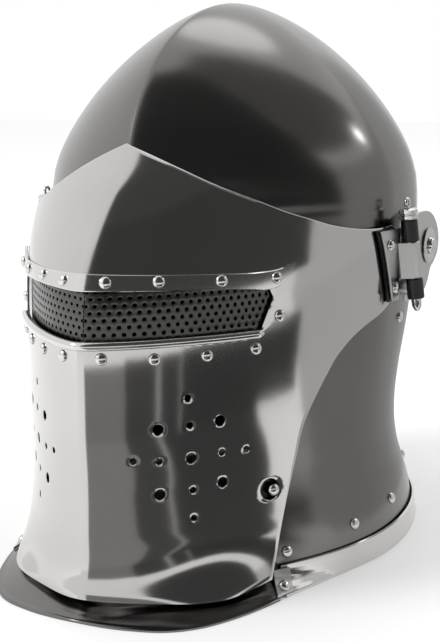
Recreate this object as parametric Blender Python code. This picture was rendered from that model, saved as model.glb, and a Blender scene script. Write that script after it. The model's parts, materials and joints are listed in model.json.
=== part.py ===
"""Visored barbute. Metres, +Z up, standing on its rim at z = 0, the face towards -Y, its left side at +X.

Plates are grids over an angle (0 at the face, positive to the left side) and a height. A table gives each height's
half width and reach, and the plan between them is the curve (x / half width)^a + (y / reach)^b = 1.
"""

import math

import bmesh
import bpy
import numpy as np
from mathutils import Vector

# The whole helmet
HEIGHT = 0.3028
HALF_WIDTH = 0.112
FRONT_REACH = 0.152
REAR_REACH = 0.152
CENTRE_Y = 0.018
GAP = 0.0003

# Skull
SKULL_WALL = 0.0015
SKULL_FOOT = 0.0100
SKULL_COLUMNS = 36
DOME_APEX_Y = 0.045
DOME_CENTRE_SHIFT = 0.0034
DOME_FRONT_POWER = 2.07
DOME_SIDE_POWER = 1.43
DOME_REAR_POWER = 1.95
DOME_STEPS = (0.25, 0.47, 0.66, 0.80, 0.90, 0.96, 0.99)
NOTCH_HEIGHT = 0.0150

# Foot ring: collar in front, trim behind
RIM_WALL = 0.0014
FOOT_LAP = 0.0022
FLARE_TOP = 0.020
TRIM_TOP = 0.0135
COLLAR_TOP = 0.030
FOOT_JOINT_DEG = 40.0
COLLAR_SLACK = 0.0013
TAB_WIDTH = 0.010
TAB_WALL = 0.0012

# Visor and what it carries
VISOR_WALL = 0.0015
VISOR_COLUMNS = 28
SIDE_FLARE = 0.009
SIDE_FLARE_DEG = 25.0
SIDE_FLARE_SPREAD_DEG = 11.0
SIDE_FLARE_TOP = 0.034
SLOT_FLOOR = 0.1384
SLOT_FLOOR_DEG = 36.0
BAND_WALL = 0.0016
BAND_STEPS = 16
SIGHT_WALL = 0.0008
SIGHT_FOLD_DEPTH = 0.0024
SIGHT_FOLD_DEG = 9.0
SIGHT_HOLE_SHARE = 0.27
BREATH_LARGE = 0.0056
BREATH_SMALL = 0.0036

# Hinges and pivots
HINGE_X = 0.1183
HINGE_Y = 0.0123
HINGE_Z = 0.170
HINGE_LEAN_DEG = 6.0
LEAF_LEAN_DEG = 15.0
KNUCKLE_RADIUS = 0.0046
PIN_RADIUS = 0.0028
PIN_COLLAR_RADIUS = 0.0052
EYE_RADIUS = 0.0033
PAD_WALL = 0.0019
LEAF_WALL = 0.0012
ARM_WALL = 0.0018
ARM_FACE = 0.1128
PIVOT_Y = 0.0583
PIVOT_Z = 0.1645
PIVOT_SHANK = 0.0030
WASHER_RADIUS = 0.0100
WASHER_WALL = 0.0015

# Latch
LATCH_HOLE_RADIUS = 0.00575
LATCH_HOLE_DEG = 37.9
LATCH_HOLE_Z = 0.055
LATCH_PIN_RADIUS = 0.0033
LATCH_PIN_DEG = 38.8
LATCH_PIN_Z = 0.0545
LATCH_PROUD = 0.0025

# Rivet heads: radius and height
VISOR_RIVET = (0.0031, 0.0020)
SKULL_RIVET = (0.0032, 0.0022)
RIVET_SIDES = 8

# Columns: height, half width, front reach, rear reach (shares of the helmet's), a and b in front, b behind
SKULL_ROWS = np.array(
    (
        (0.0000, 0.978, 0.914, 0.961, 1.00, 2.15, 2.00),
        (0.0462, 0.976, 0.914, 0.942, 1.00, 2.15, 2.00),
        (0.0892, 0.960, 0.908, 0.899, 1.00, 2.15, 2.00),
        (0.1222, 0.940, 0.901, 0.857, 1.00, 2.15, 2.00),
        (0.1486, 0.922, 0.895, 0.829, 1.00, 2.15, 2.00),
        (0.1882, 0.905, 0.888, 0.801, 1.00, 2.15, 2.02),
        (0.2477, 0.900, 0.878, 0.786, 1.00, 2.15, 2.06),
        (0.3137, 0.909, 0.846, 0.808, 1.04, 2.10, 2.18),
        (0.3831, 0.922, 0.790, 0.858, 1.08, 2.05, 2.38),
        (0.4690, 0.936, 0.697, 0.903, 1.12, 1.98, 2.54),
        (0.5614, 0.944, 0.616, 0.931, 1.15, 1.88, 2.62),
        (0.6691, 0.946, 0.573, 0.936, 1.18, 1.80, 2.52),
    )
)
SKULL_HEIGHTS = (0.030, 0.0450, 0.066, 0.0892, 0.1222, 0.165, 0.215, 0.281, 0.347, 0.413, 0.495, 0.578, 0.6691)

# Columns: height, half width, front reach (shares of the helmet's)
VISOR_ROWS = np.array(
    (
        (0.0000, 1.054, 1.000),
        (0.0363, 1.012, 0.974),
        (0.0727, 0.985, 0.947),
        (0.1321, 0.955, 0.934),
        (0.2048, 0.946, 0.924),
        (0.3005, 0.958, 0.924),
        (0.3666, 0.968, 0.918),
        (0.4590, 0.979, 0.908),
        (0.5449, 0.985, 0.878),
        (0.5713, 0.986, 0.858),
        (0.6176, 0.980, 0.809),
        (0.6856, 0.961, 0.711),
        (0.7596, 0.940, 0.568),
        (0.7926, 0.930, 0.513),
    )
)

# Columns: height as a share of the helmet's, a and b of the plan curve
VISOR_PLAN = np.array(
    (
        (0.00, 1.370, 1.740),
        (0.25, 1.360, 1.730),
        (0.42, 1.335, 1.705),
        (0.57, 1.310, 1.660),
        (0.68, 1.270, 1.560),
        (0.80, 1.240, 1.510),
    )
)

# Columns: height as a share of the helmet's, angle in degrees
VISOR_REAR_EDGE = np.array(
    (
        (0.0320, 37.2),
        (0.0670, 38.9),
        (0.1199, 41.1),
        (0.1793, 43.6),
        (0.2325, 46.0),
        (0.2910, 48.8),
        (0.3289, 52.3),
        (0.3653, 56.4),
        (0.3983, 61.1),
        (0.4330, 70.9),
        (0.4470, 78.0),
        (0.4600, 82.8),
        (0.4950, 83.4),
        (0.5290, 84.0),
        (0.5640, 84.6),
        (0.6020, 85.0),
    )
)

# Columns: angle in degrees, height as a share of the helmet's
VISOR_TOP_EDGE = np.array(
    (
        (0.0, 0.7644),
        (7.8, 0.7456),
        (16.0, 0.7239),
        (27.0, 0.6932),
        (38.6, 0.6647),
        (45.1, 0.6480),
        (53.0, 0.6316),
        (59.7, 0.6182),
        (66.0, 0.6095),
        (72.7, 0.6037),
        (79.1, 0.6010),
        (85.0, 0.6020),
    )
)
VISOR_FOOT_EDGE = np.array(((0.0, 0.0363), (10.0, 0.0280), (20.0, 0.0225), (28.0, 0.0225), (37.6, 0.0320)))
SLOT_TOP_EDGE = np.array(
    (
        (0.0, 0.5407),
        (14.0, 0.5372),
        (26.5, 0.5321),
        (36.5, 0.5262),
        (38.8, 0.5243),
        (39.7, 0.5118),
    )
)

# Columns: angle in degrees, lower edge, upper edge (shares of the helmet's height)
BAND_EDGES = np.array(
    (
        (0.0, 0.5401, 0.5673),
        (8.0, 0.5392, 0.5640),
        (17.0, 0.5362, 0.5606),
        (26.2, 0.5325, 0.5575),
        (34.5, 0.5275, 0.5547),
        (38.5, 0.5252, 0.5553),
        (40.8, 0.5285, 0.5566),
        (43.2, 0.5400, 0.5602),
        (45.9, 0.5610, 0.5668),
    )
)

# Columns: angle in degrees, distance from CENTRE_Y as a share of the front reach
RIM_PLAN = np.array(
    (
        (0.0, 1.1184),
        (10.0, 1.1184),
        (17.0, 1.1053),
        (22.0, 1.0691),
        (27.2, 1.0099),
        (33.8, 0.9309),
        (41.2, 0.8520),
        (51.8, 0.7862),
        (62.3, 0.7533),
        (77.7, 0.7401),
        (90.0, 0.7368),
    )
)

# Columns: share of the flare, height as a share of FLARE_TOP above the rim's wall
FOOT_PROFILE = ((1.00, 0.0), (0.88, 0.0), (0.62, 0.085), (0.38, 0.20), (0.20, 0.35), (0.08, 0.54), (0.02, 0.75), (0.0, 1.0))

# Columns: angle in degrees, height as a share of the helmet's, large
BREATHS = (
    (9.1, 0.2620, False),
    (13.6, 0.3120, True),
    (13.6, 0.2580, False),
    (13.6, 0.2015, True),
    (19.3, 0.3600, False),
    (19.6, 0.3138, False),
    (19.7, 0.2580, True),
    (19.9, 0.2028, False),
    (20.0, 0.1550, False),
    (25.9, 0.3160, True),
    (26.2, 0.2613, False),
    (26.2, 0.2090, True),
    (31.9, 0.2600, False),
)
PIN_HOLE = (42.9, 0.2138, 0.0008)

# Columns: name, angle in degrees, height as a share of the helmet's
BAND_RIVETS = (("1", 4.4, 0.5530), ("2", 13.8, 0.5514), ("3", 26.6, 0.5463), ("4", 40.3, 0.5435))
LIP_RIVETS = (("1", 4.1, 0.4332), ("2", 13.2, 0.4285), ("3", 23.4, 0.4275), ("4", 34.7, 0.4294))
SIDE_RIVET = (41.3, 0.4793)
LEAF_RIVETS = (("upper", 80.4, 0.5700), ("lower", 83.0, 0.4927))
SKULL_RIVETS = (
    ("temple", 100.0, 0.4164),
    ("foot_1", 42.4, 0.0634),
    ("foot_2", 65.8, 0.0782),
    ("foot_3", 87.0, 0.0871),
    ("foot_4", 124.0, 0.1020),
)

# Columns: forward (y) and up (z) of the face opening's rear outline, as shares of front reach and height
FACE_EDGE = (
    (-0.620, 0.0479),
    (-0.620, 0.1000),
    (-0.550, 0.1820),
    (-0.470, 0.2970),
    (-0.390, 0.3960),
    (-0.310, 0.4800),
    (-0.300, 0.5450),
    (-0.390, 0.6176),
)
NOTCH_Y = -0.484

# Columns: back from the front reach's origin (y) and up (z) in metres from the pivot, the arm's outline
ARM_OUTLINE = (
    (-0.0455, 0.0182),
    (-0.0280, 0.0200),
    (-0.0080, 0.0208),
    (0.0060, 0.0190),
    (0.0170, 0.0115),
    (0.0212, 0.0025),
    (0.0195, -0.0060),
    (0.0120, -0.0112),
    (0.0050, -0.0135),
    (0.0010, -0.0205),
    (-0.0080, -0.0268),
    (-0.0380, -0.0268),
    (-0.0392, -0.0240),
)

# Columns: share along the hinge axis from HINGE_Z in metres
KNUCKLE_CUTS = (-0.0279, -0.0166, 0.0032, 0.0151)
PIN_TIP = -0.0350
PIN_COLLAR_TOP = 0.0212

STEEL_DARK = (0.10, 0.10, 0.098, 1.0)
STEEL_POLISHED = (0.46, 0.46, 0.45, 1.0)
STEEL_SATIN = (0.35, 0.35, 0.34, 1.0)
STEEL_BLACK = (0.03, 0.03, 0.03, 1.0)

for old in list(bpy.data.objects):
    bpy.data.objects.remove(old, do_unlink=True)


def smooth(rows, column, at):
    """The table's column at these heights, as a cubic through its rows."""
    heights = rows[:, 0]
    values = rows[:, column]
    slopes = np.gradient(values, heights)
    at = np.clip(at, heights[0], heights[-1])
    index = np.clip(np.searchsorted(heights, at, side="right") - 1, 0, len(heights) - 2)
    span = heights[index + 1] - heights[index]
    t = (at - heights[index]) / span
    return (
        (1 + 2 * t) * (1 - t) ** 2 * values[index]
        + t * (1 - t) ** 2 * span * slopes[index]
        + t * t * (3 - 2 * t) * values[index + 1]
        + t * t * (t - 1) * span * slopes[index + 1]
    )


def plan_radius(angle, half_width, reach, a, b):
    """Distance from the centre to the plan curve, found by halving."""
    across = np.abs(np.sin(angle)) / half_width
    along = np.abs(np.cos(angle)) / reach
    low = np.zeros(np.shape(across + along))
    high = low + 0.4
    for _ in range(40):
        middle = (low + high) / 2
        inside = (middle * across) ** a + (middle * along) ** b < 1
        low = np.where(inside, middle, low)
        high = np.where(inside, high, middle)
    return low


def at_angle(angle, radius, centre_y, height):
    """Points at this distance from (0, centre_y)."""
    angle, radius, centre_y, height = np.broadcast_arrays(angle, radius, centre_y, height)
    return np.stack((radius * np.sin(angle), centre_y - radius * np.cos(angle), height), axis=-1)


def rim_radius(angle):
    """Distance from CENTRE_Y to the rim: a table in front, an ellipse behind."""
    turned = np.degrees(np.abs(angle))
    front = FRONT_REACH * smooth(RIM_PLAN, 1, np.minimum(turned, 90.0))
    rear = plan_radius(angle, HALF_WIDTH, REAR_REACH - CENTRE_Y, 2.0, 2.0)
    return np.where(turned < 90, front, rear)


def flare_share(height):
    shares = [row[0] for row in FOOT_PROFILE][::-1]
    heights = [RIM_WALL + row[1] * (FLARE_TOP - RIM_WALL) for row in FOOT_PROFILE][::-1]
    order = np.argsort(heights)
    return np.interp(height, np.array(heights)[order], np.array(shares)[order])


def skull_plan(angle, share):
    """Radius of the skull below the dome, before its foot flares."""
    half = HALF_WIDTH * smooth(SKULL_ROWS, 1, share)
    front = FRONT_REACH * smooth(SKULL_ROWS, 2, share) + CENTRE_Y
    rear = REAR_REACH * smooth(SKULL_ROWS, 3, share) - CENTRE_Y
    facing = np.cos(angle) > 0
    reach = np.where(facing, front, rear)
    behind = smooth(SKULL_ROWS, 6, share)
    a = np.where(facing, smooth(SKULL_ROWS, 4, share), behind)
    b = np.where(facing, smooth(SKULL_ROWS, 5, share), behind)
    return plan_radius(angle, half, reach, a, b)


def skull_point(angle, height):
    """The skull's outer surface: the table below, three superellipses that meet at the apex above."""
    angle, height = np.broadcast_arrays(np.asarray(angle, float), np.asarray(height, float))
    base_share = SKULL_ROWS[-1, 0]
    base = base_share * HEIGHT
    low = np.minimum(height, base)
    share = low / HEIGHT
    flare = flare_share(low)
    radius = skull_plan(angle, share) * (1 - flare) + (rim_radius(angle) - FOOT_LAP) * flare
    slide = DOME_CENTRE_SHIFT * np.clip((share - 0.45) / (base_share - 0.45), 0, 1) ** 2
    below = at_angle(angle, radius, CENTRE_Y + slide, low)
    rise = np.clip((height - base) / (HEIGHT - base), 0, 1)
    side = (1 - rise**DOME_SIDE_POWER) ** (1 / DOME_SIDE_POWER)
    ahead = (1 - rise**DOME_FRONT_POWER) ** (1 / DOME_FRONT_POWER)
    behind = (1 - rise**DOME_REAR_POWER) ** (1 / DOME_REAR_POWER)
    centre = DOME_APEX_Y - (DOME_APEX_Y - CENTRE_Y - DOME_CENTRE_SHIFT) * side
    front = (DOME_APEX_Y + FRONT_REACH * SKULL_ROWS[-1, 2]) * ahead - (DOME_APEX_Y - centre)
    rear = (REAR_REACH * SKULL_ROWS[-1, 3] - DOME_APEX_Y) * behind + (DOME_APEX_Y - centre)
    facing = np.cos(angle) > 0
    reach = np.where(facing, front, rear)
    a = np.where(facing, SKULL_ROWS[-1, 4], SKULL_ROWS[-1, 6])
    b = np.where(facing, SKULL_ROWS[-1, 5], SKULL_ROWS[-1, 6])
    half = HALF_WIDTH * SKULL_ROWS[-1, 1] * side
    tiny = 1e-6
    dome = at_angle(angle, plan_radius(angle, half + tiny, reach + tiny, a, b), centre, height)
    return np.where((height > base)[..., None], dome, below)


def visor_point(angle, height):
    """The visor's outer surface, creased in front, with its foot flared most at SIDE_FLARE_DEG."""
    angle, height = np.broadcast_arrays(np.asarray(angle, float), np.asarray(height, float))
    share = height / HEIGHT
    half = HALF_WIDTH * smooth(VISOR_ROWS, 1, share)
    reach = FRONT_REACH * smooth(VISOR_ROWS, 2, share) + CENTRE_Y
    turned = (np.degrees(np.abs(angle)) - SIDE_FLARE_DEG) / SIDE_FLARE_SPREAD_DEG
    fade = np.clip(1 - height / SIDE_FLARE_TOP, 0, 1) ** 1.6
    a = smooth(VISOR_PLAN, 1, share)
    b = smooth(VISOR_PLAN, 2, share)
    radius = plan_radius(angle, half, reach, a, b) + SIDE_FLARE * np.exp(-(turned**2)) * fade
    return at_angle(angle, radius, CENTRE_Y, height)


def offset(surface, angle, height, out):
    """Points this far outside the surface, along its normal."""
    small = 0.006
    step = 0.0006
    angle, height = np.broadcast_arrays(np.asarray(angle, float), np.asarray(height, float))
    along = surface(angle + small, height) - surface(angle - small, height)
    up = surface(angle, height + step) - surface(angle, height - step)
    normal = np.cross(along, up)
    normal /= np.linalg.norm(normal, axis=-1, keepdims=True)
    return surface(angle, height) + normal * np.asarray(out, float)[..., None]


def normal_at(surface, angle, height):
    here = offset(surface, angle, height, 0.0)
    return offset(surface, angle, height, 0.001) * 1000 - here * 1000


def shell(outer, inner, ring=False):
    """A closed plate between two grids of points. A ring's last column meets its first."""
    rows, columns = outer.shape[:2]
    points = np.concatenate((outer.reshape(-1, 3), inner.reshape(-1, 3)))
    count = rows * columns
    faces = []
    for row in range(rows - 1):
        for column in range(columns if ring else columns - 1):
            after = (column + 1) % columns
            quad = (row * columns + column, row * columns + after, (row + 1) * columns + after, (row + 1) * columns + column)
            faces.append(quad)
            faces.append(tuple(count + corner for corner in quad[::-1]))
    for column in range(columns if ring else columns - 1):
        after = (column + 1) % columns
        top = (rows - 1) * columns
        faces.append((after, column, count + column, count + after))
        faces.append((top + column, top + after, count + top + after, count + top + column))
    if not ring:
        for row in range(rows - 1):
            for edge in (0, columns - 1):
                here = row * columns + edge
                there = here + columns
                faces.append((here, there, count + there, count + here))
    return points, faces


def domed(outer, inner, outer_top, inner_top):
    """A closed bowl: a ring shell without its top rim, closed by a fan at each top point."""
    rows, columns = outer.shape[:2]
    points, faces = shell(outer, inner, ring=True)
    count = rows * columns
    top = (rows - 1) * columns
    faces = [face for face in faces if not (min(face) >= top and min(face) < count <= max(face))]
    points = np.concatenate((points, [outer_top, inner_top]))
    for column in range(columns):
        after = (column + 1) % columns
        faces.append((top + column, top + after, 2 * count))
        faces.append((count + top + after, count + top + column, 2 * count + 1))
    return points, faces


def patch(surface, angles, heights, out, wall):
    """A plate on the surface. angles and heights are grids, rows upwards."""
    outer = offset(surface, angles, heights, out + wall)
    inner = offset(surface, angles, heights, out)
    return shell(outer, inner)


def between(low, high, shares):
    """Rows of values between a lower and an upper edge."""
    shares = np.asarray(shares)[:, None]
    return np.asarray(low)[None, :] * (1 - shares) + np.asarray(high)[None, :] * shares


def turned(profile, origin, axis, sides, across=(1.0, 0.0, 0.0)):
    """The profile of (distance along, radius) turned about the axis. Ends with no radius close at a point."""
    axis = Vector(axis).normalized()
    first = Vector(across)
    first = (first - axis * first.dot(axis)).normalized()
    second = axis.cross(first)
    origin = Vector(origin)
    points = []
    rings = []
    for along, radius in profile:
        centre = origin + axis * along
        if radius == 0:
            rings.append([len(points)])
            points.append(centre)
            continue
        ring = []
        for side in range(sides):
            turn = 2 * math.pi * (side + 0.5) / sides
            ring.append(len(points))
            points.append(centre + (first * math.cos(turn) + second * math.sin(turn)) * radius)
        rings.append(ring)
    faces = []
    for lower, upper in zip(rings, rings[1:]):
        for side in range(sides):
            after = (side + 1) % sides
            if len(lower) == 1:
                faces.append((lower[0], upper[after], upper[side]))
            elif len(upper) == 1:
                faces.append((lower[side], lower[after], upper[0]))
            else:
                faces.append((lower[side], lower[after], upper[after], upper[side]))
    if len(rings[0]) > 1:
        faces.append(tuple(rings[0][::-1]))
    if len(rings[-1]) > 1:
        faces.append(tuple(rings[-1]))
    return np.array(points), faces


def tube(profile_outer, bore, origin, axis, sides):
    """A turned piece with a straight bore. profile_outer is a list of (distance along, radius)."""
    loop = list(profile_outer) + [(profile_outer[-1][0], bore), (profile_outer[0][0], bore)]
    axis = Vector(axis).normalized()
    first = Vector((1.0, 0.0, 0.0))
    if abs(axis.dot(first)) > 0.9:
        first = Vector((0.0, 1.0, 0.0))
    first = (first - axis * first.dot(axis)).normalized()
    second = axis.cross(first)
    points = []
    for side in range(sides):
        turn = 2 * math.pi * (side + 0.5) / sides
        out = first * math.cos(turn) + second * math.sin(turn)
        for along, radius in loop:
            points.append(Vector(origin) + axis * along + out * radius)
    faces = []
    count = len(loop)
    for side in range(sides):
        here = side * count
        there = ((side + 1) % sides) * count
        for corner in range(count):
            after = (corner + 1) % count
            faces.append((here + corner, here + after, there + after, there + corner))
    return np.array(points), faces


def prism(outline, low_x, high_x):
    """An outline of (y, z) carried from low_x to high_x."""
    count = len(outline)
    points = [(low_x, y, z) for y, z in outline] + [(high_x, y, z) for y, z in outline]
    faces = [tuple(range(count))[::-1], tuple(range(count, 2 * count))]
    for corner in range(count):
        after = (corner + 1) % count
        faces.append((corner, after, count + after, count + corner))
    return np.array(points), faces


def swept(profile, angles, surface):
    """A closed profile of (out, height) carried along the surface through these angles."""
    points = []
    for out, height in profile:
        points.append(offset(surface, angles, np.full(len(angles), height), np.full(len(angles), out)))
    points = np.array(points)
    corners, columns = points.shape[:2]
    faces = []
    for corner in range(corners):
        after = (corner + 1) % corners
        for column in range(columns - 1):
            here = corner * columns + column
            there = after * columns + column
            faces.append((here, here + 1, there + 1, there))
    faces.append(tuple(corner * columns for corner in range(corners)))
    faces.append(tuple(corner * columns + columns - 1 for corner in range(corners))[::-1])
    return points.reshape(-1, 3), faces


def joined(*solids):
    """Separate solids in one mesh, for a cutter."""
    points = []
    faces = []
    for solid_points, solid_faces in solids:
        start = sum(len(group) for group in points)
        points.append(np.asarray(solid_points))
        faces.extend(tuple(start + corner for corner in face) for face in solid_faces)
    return np.concatenate(points), faces


def mirrored(solid):
    points, faces = solid
    return np.asarray(points) * (-1, 1, 1), [face[::-1] for face in faces]


def mesh_object(name, solid, side):
    points, faces = solid if side > 0 else mirrored(solid)
    mesh = bpy.data.meshes.new(name)
    work = bmesh.new()
    corners = [work.verts.new(tuple(float(value) for value in point)) for point in points]
    for face in faces:
        work.faces.new([corners[corner] for corner in face])
    bmesh.ops.recalc_face_normals(work, faces=work.faces)
    if work.calc_volume(signed=True) < 0:
        bmesh.ops.reverse_faces(work, faces=work.faces)
    for face in work.faces:
        face.smooth = True
    work.to_mesh(mesh)
    work.free()
    mesh.set_sharp_from_angle(angle=math.radians(32))
    made = bpy.data.objects.new(name, mesh)
    bpy.context.scene.collection.objects.link(made)
    return made


def steel(name, colour, roughness):
    material = bpy.data.materials.new(name)
    material.use_nodes = True
    shader = material.node_tree.nodes["Principled BSDF"]
    shader.inputs["Base Color"].default_value = colour
    shader.inputs["Metallic"].default_value = 1.0
    shader.inputs["Roughness"].default_value = roughness
    return material


def piece(name, solid, colour, roughness=0.35, side=1, joins=(), cuts=()):
    """One node. Each solid in joins is added to it and each in cuts is taken away, in that order."""
    made = mesh_object(name, solid, side)
    made.data.materials.append(steel(name, colour, roughness))
    steps = [("UNION", other) for other in joins] + [("DIFFERENCE", other) for other in cuts]
    for number, (operation, other) in enumerate(steps):
        helper = mesh_object(f"{name}_tool_{number}", other, side)
        helper.hide_render = True
        helper.display_type = "WIRE"
        change = made.modifiers.new(f"{operation.lower()}_{number}", "BOOLEAN")
        change.operation = operation
        change.solver = "EXACT"
        change.object = helper
    return made


def side_names():
    return (("left", 1), ("right", -1))


def add_rivet(name, surface, angle_deg, share, out, size, side):
    """A domed head that stands GAP off the plate under it."""
    angle = math.radians(angle_deg)
    height = share * HEIGHT
    normal = normal_at(surface, angle, height)
    radius, rise = size
    seat = offset(surface, angle, height, out + GAP)
    profile = ((0.0, radius), (0.45 * rise, 0.88 * radius), (0.85 * rise, 0.50 * radius), (rise, 0.0))
    piece(name, turned(profile, seat, normal, RIVET_SIDES), STEEL_POLISHED, 0.25, side)


def add_skull():
    angles = np.radians(np.arange(SKULL_COLUMNS) * 360.0 / SKULL_COLUMNS)
    base = SKULL_ROWS[-1, 0] * HEIGHT
    heights = [share * HEIGHT for share in SKULL_HEIGHTS]
    heights[0] = SKULL_FOOT
    heights += [base + step * (HEIGHT - base) for step in DOME_STEPS]
    grid_height = np.array(heights)[:, None]
    outer = offset(skull_point, angles[None, :], grid_height, 0.0)
    inner = offset(skull_point, angles[None, :], grid_height, -SKULL_WALL)
    inner[0, :, 2] = SKULL_FOOT
    outer_top = (0.0, DOME_APEX_Y, HEIGHT)
    inner_top = (0.0, DOME_APEX_Y, HEIGHT - SKULL_WALL)
    bowl = domed(outer, inner, outer_top, inner_top)
    edge = [(y * FRONT_REACH, z * HEIGHT) for y, z in FACE_EDGE]
    far = -2 * FRONT_REACH
    opening = [(far, -HEIGHT), (NOTCH_Y * FRONT_REACH, -HEIGHT), (NOTCH_Y * FRONT_REACH, NOTCH_HEIGHT)]
    opening += [(edge[0][0], NOTCH_HEIGHT)] + edge[1:] + [(far, edge[-1][1])]
    face = prism(opening, -2 * HALF_WIDTH, 2 * HALF_WIDTH)
    bore = PIVOT_SHANK + GAP
    pivots = turned(((-2 * HALF_WIDTH, bore), (2 * HALF_WIDTH, bore)), (0, PIVOT_Y, PIVOT_Z), (1, 0, 0), 12, (0, 1, 0))
    seat, out = latch_axis()
    latch = turned(((-0.02, LATCH_PIN_RADIUS + GAP), (0.02, LATCH_PIN_RADIUS + GAP)), seat, out, 12)
    piece("skull", bowl, STEEL_DARK, 0.32, cuts=(face, pivots, latch))


def latch_axis():
    """A point of the latch pin's axis level with the skull, and its direction, square to the visor."""
    angle = math.radians(LATCH_PIN_DEG)
    out = normal_at(visor_point, angle, LATCH_PIN_Z)
    over = visor_point(angle, LATCH_PIN_Z)
    depth = np.dot(over - skull_point(angle, LATCH_PIN_Z), out)
    return over - out * depth, out


def foot_grid(angles, profile):
    """The outer surface of the foot ring. profile holds (flare share, height, lap outside the skull)."""
    rows = []
    for flare, height, lap in profile:
        radius = (skull_plan(angles, height / HEIGHT) + lap) * (1 - flare) + rim_radius(angles) * flare
        rows.append(at_angle(angles, radius, CENTRE_Y, np.full(np.shape(angles), height)))
    return np.array(rows)


def foot_shell(angles, profile):
    """A plate of RIM_WALL inside the foot ring's surface, flat under its outer edge."""
    outer = foot_grid(angles, profile)
    along = np.gradient(outer, axis=1)
    up = np.gradient(outer, axis=0)
    normal = np.cross(along, up)
    normal /= np.linalg.norm(normal, axis=-1, keepdims=True)
    inner = outer - normal * RIM_WALL
    inner[0] = outer[0] - (0, 0, RIM_WALL)
    inner[1] = outer[1] - (0, 0, RIM_WALL)
    inner[2:, :, 2] = np.maximum(inner[2:, :, 2], 0.0004)
    return shell(outer, inner)


def foot_rows():
    rows = []
    for flare, share in FOOT_PROFILE:
        height = RIM_WALL + share * (FLARE_TOP - RIM_WALL)
        if height < TRIM_TOP - 0.001:
            rows.append((flare, height, FOOT_LAP))
    return rows


def add_foot():
    joint = math.radians(FOOT_JOINT_DEG)
    slack = GAP / HALF_WIDTH
    columns = np.arange(SKULL_COLUMNS + 1) * 2 * math.pi / SKULL_COLUMNS
    kept = columns[(columns > joint + 2 * slack) & (columns < 2 * math.pi - joint - 2 * slack)]
    angles = np.concatenate(([joint + slack], kept, [2 * math.pi - joint - slack]))
    rows = foot_rows() + [(float(flare_share(TRIM_TOP)), TRIM_TOP, FOOT_LAP + GAP)]
    piece("rear_trim", foot_shell(angles, rows), STEEL_POLISHED, 0.2)
    inside = -SKULL_WALL - COLLAR_SLACK
    low = foot_rows()
    laps = np.linspace(0, 1, len(low)) ** 3
    rows = [(flare, height, FOOT_LAP + (inside - FOOT_LAP) * lap) for (flare, height, _), lap in zip(low, laps)]
    rows += [(0.0, 0.017, inside), (0.0, COLLAR_TOP, inside)]
    end = joint - math.radians(1.6)
    lower = np.linspace(-end, end, 19)
    piece("front_collar", foot_shell(lower, rows), STEEL_DARK, 0.3)
    for name, side in side_names():
        half = TAB_WIDTH / 2 / (FRONT_REACH * RIM_PLAN[6, 1])
        across = np.linspace(joint - half, joint + half, 3)
        rows = [(flare, height, lap + GAP) for flare, height, lap in foot_rows()[1:]]
        outer = foot_grid(across, rows)
        along = np.gradient(outer, axis=1)
        up = np.gradient(outer, axis=0)
        normal = np.cross(along, up)
        normal /= np.linalg.norm(normal, axis=-1, keepdims=True)
        tab = shell(outer + normal * (GAP + TAB_WALL), outer + normal * GAP)
        piece(f"clasp_tab_{name}", tab, STEEL_SATIN, 0.3, side)
        middle = outer[2, 1] + normal[2, 1] * (3 * GAP + TAB_WALL)
        radius, rise = VISOR_RIVET
        profile = ((0.0, radius), (0.45 * rise, 0.88 * radius), (0.85 * rise, 0.50 * radius), (rise, 0.0))
        piece(f"clasp_rivet_{name}", turned(profile, middle, normal[2, 1], RIVET_SIDES), STEEL_POLISHED, 0.25, side)


def hole_cutter(surface, angle_deg, share, radius, sides):
    angle = math.radians(angle_deg)
    height = share * HEIGHT
    reach = 5 * VISOR_WALL
    return turned(((-reach, radius), (reach, radius)), surface(angle, height), normal_at(surface, angle, height), sides)


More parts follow.
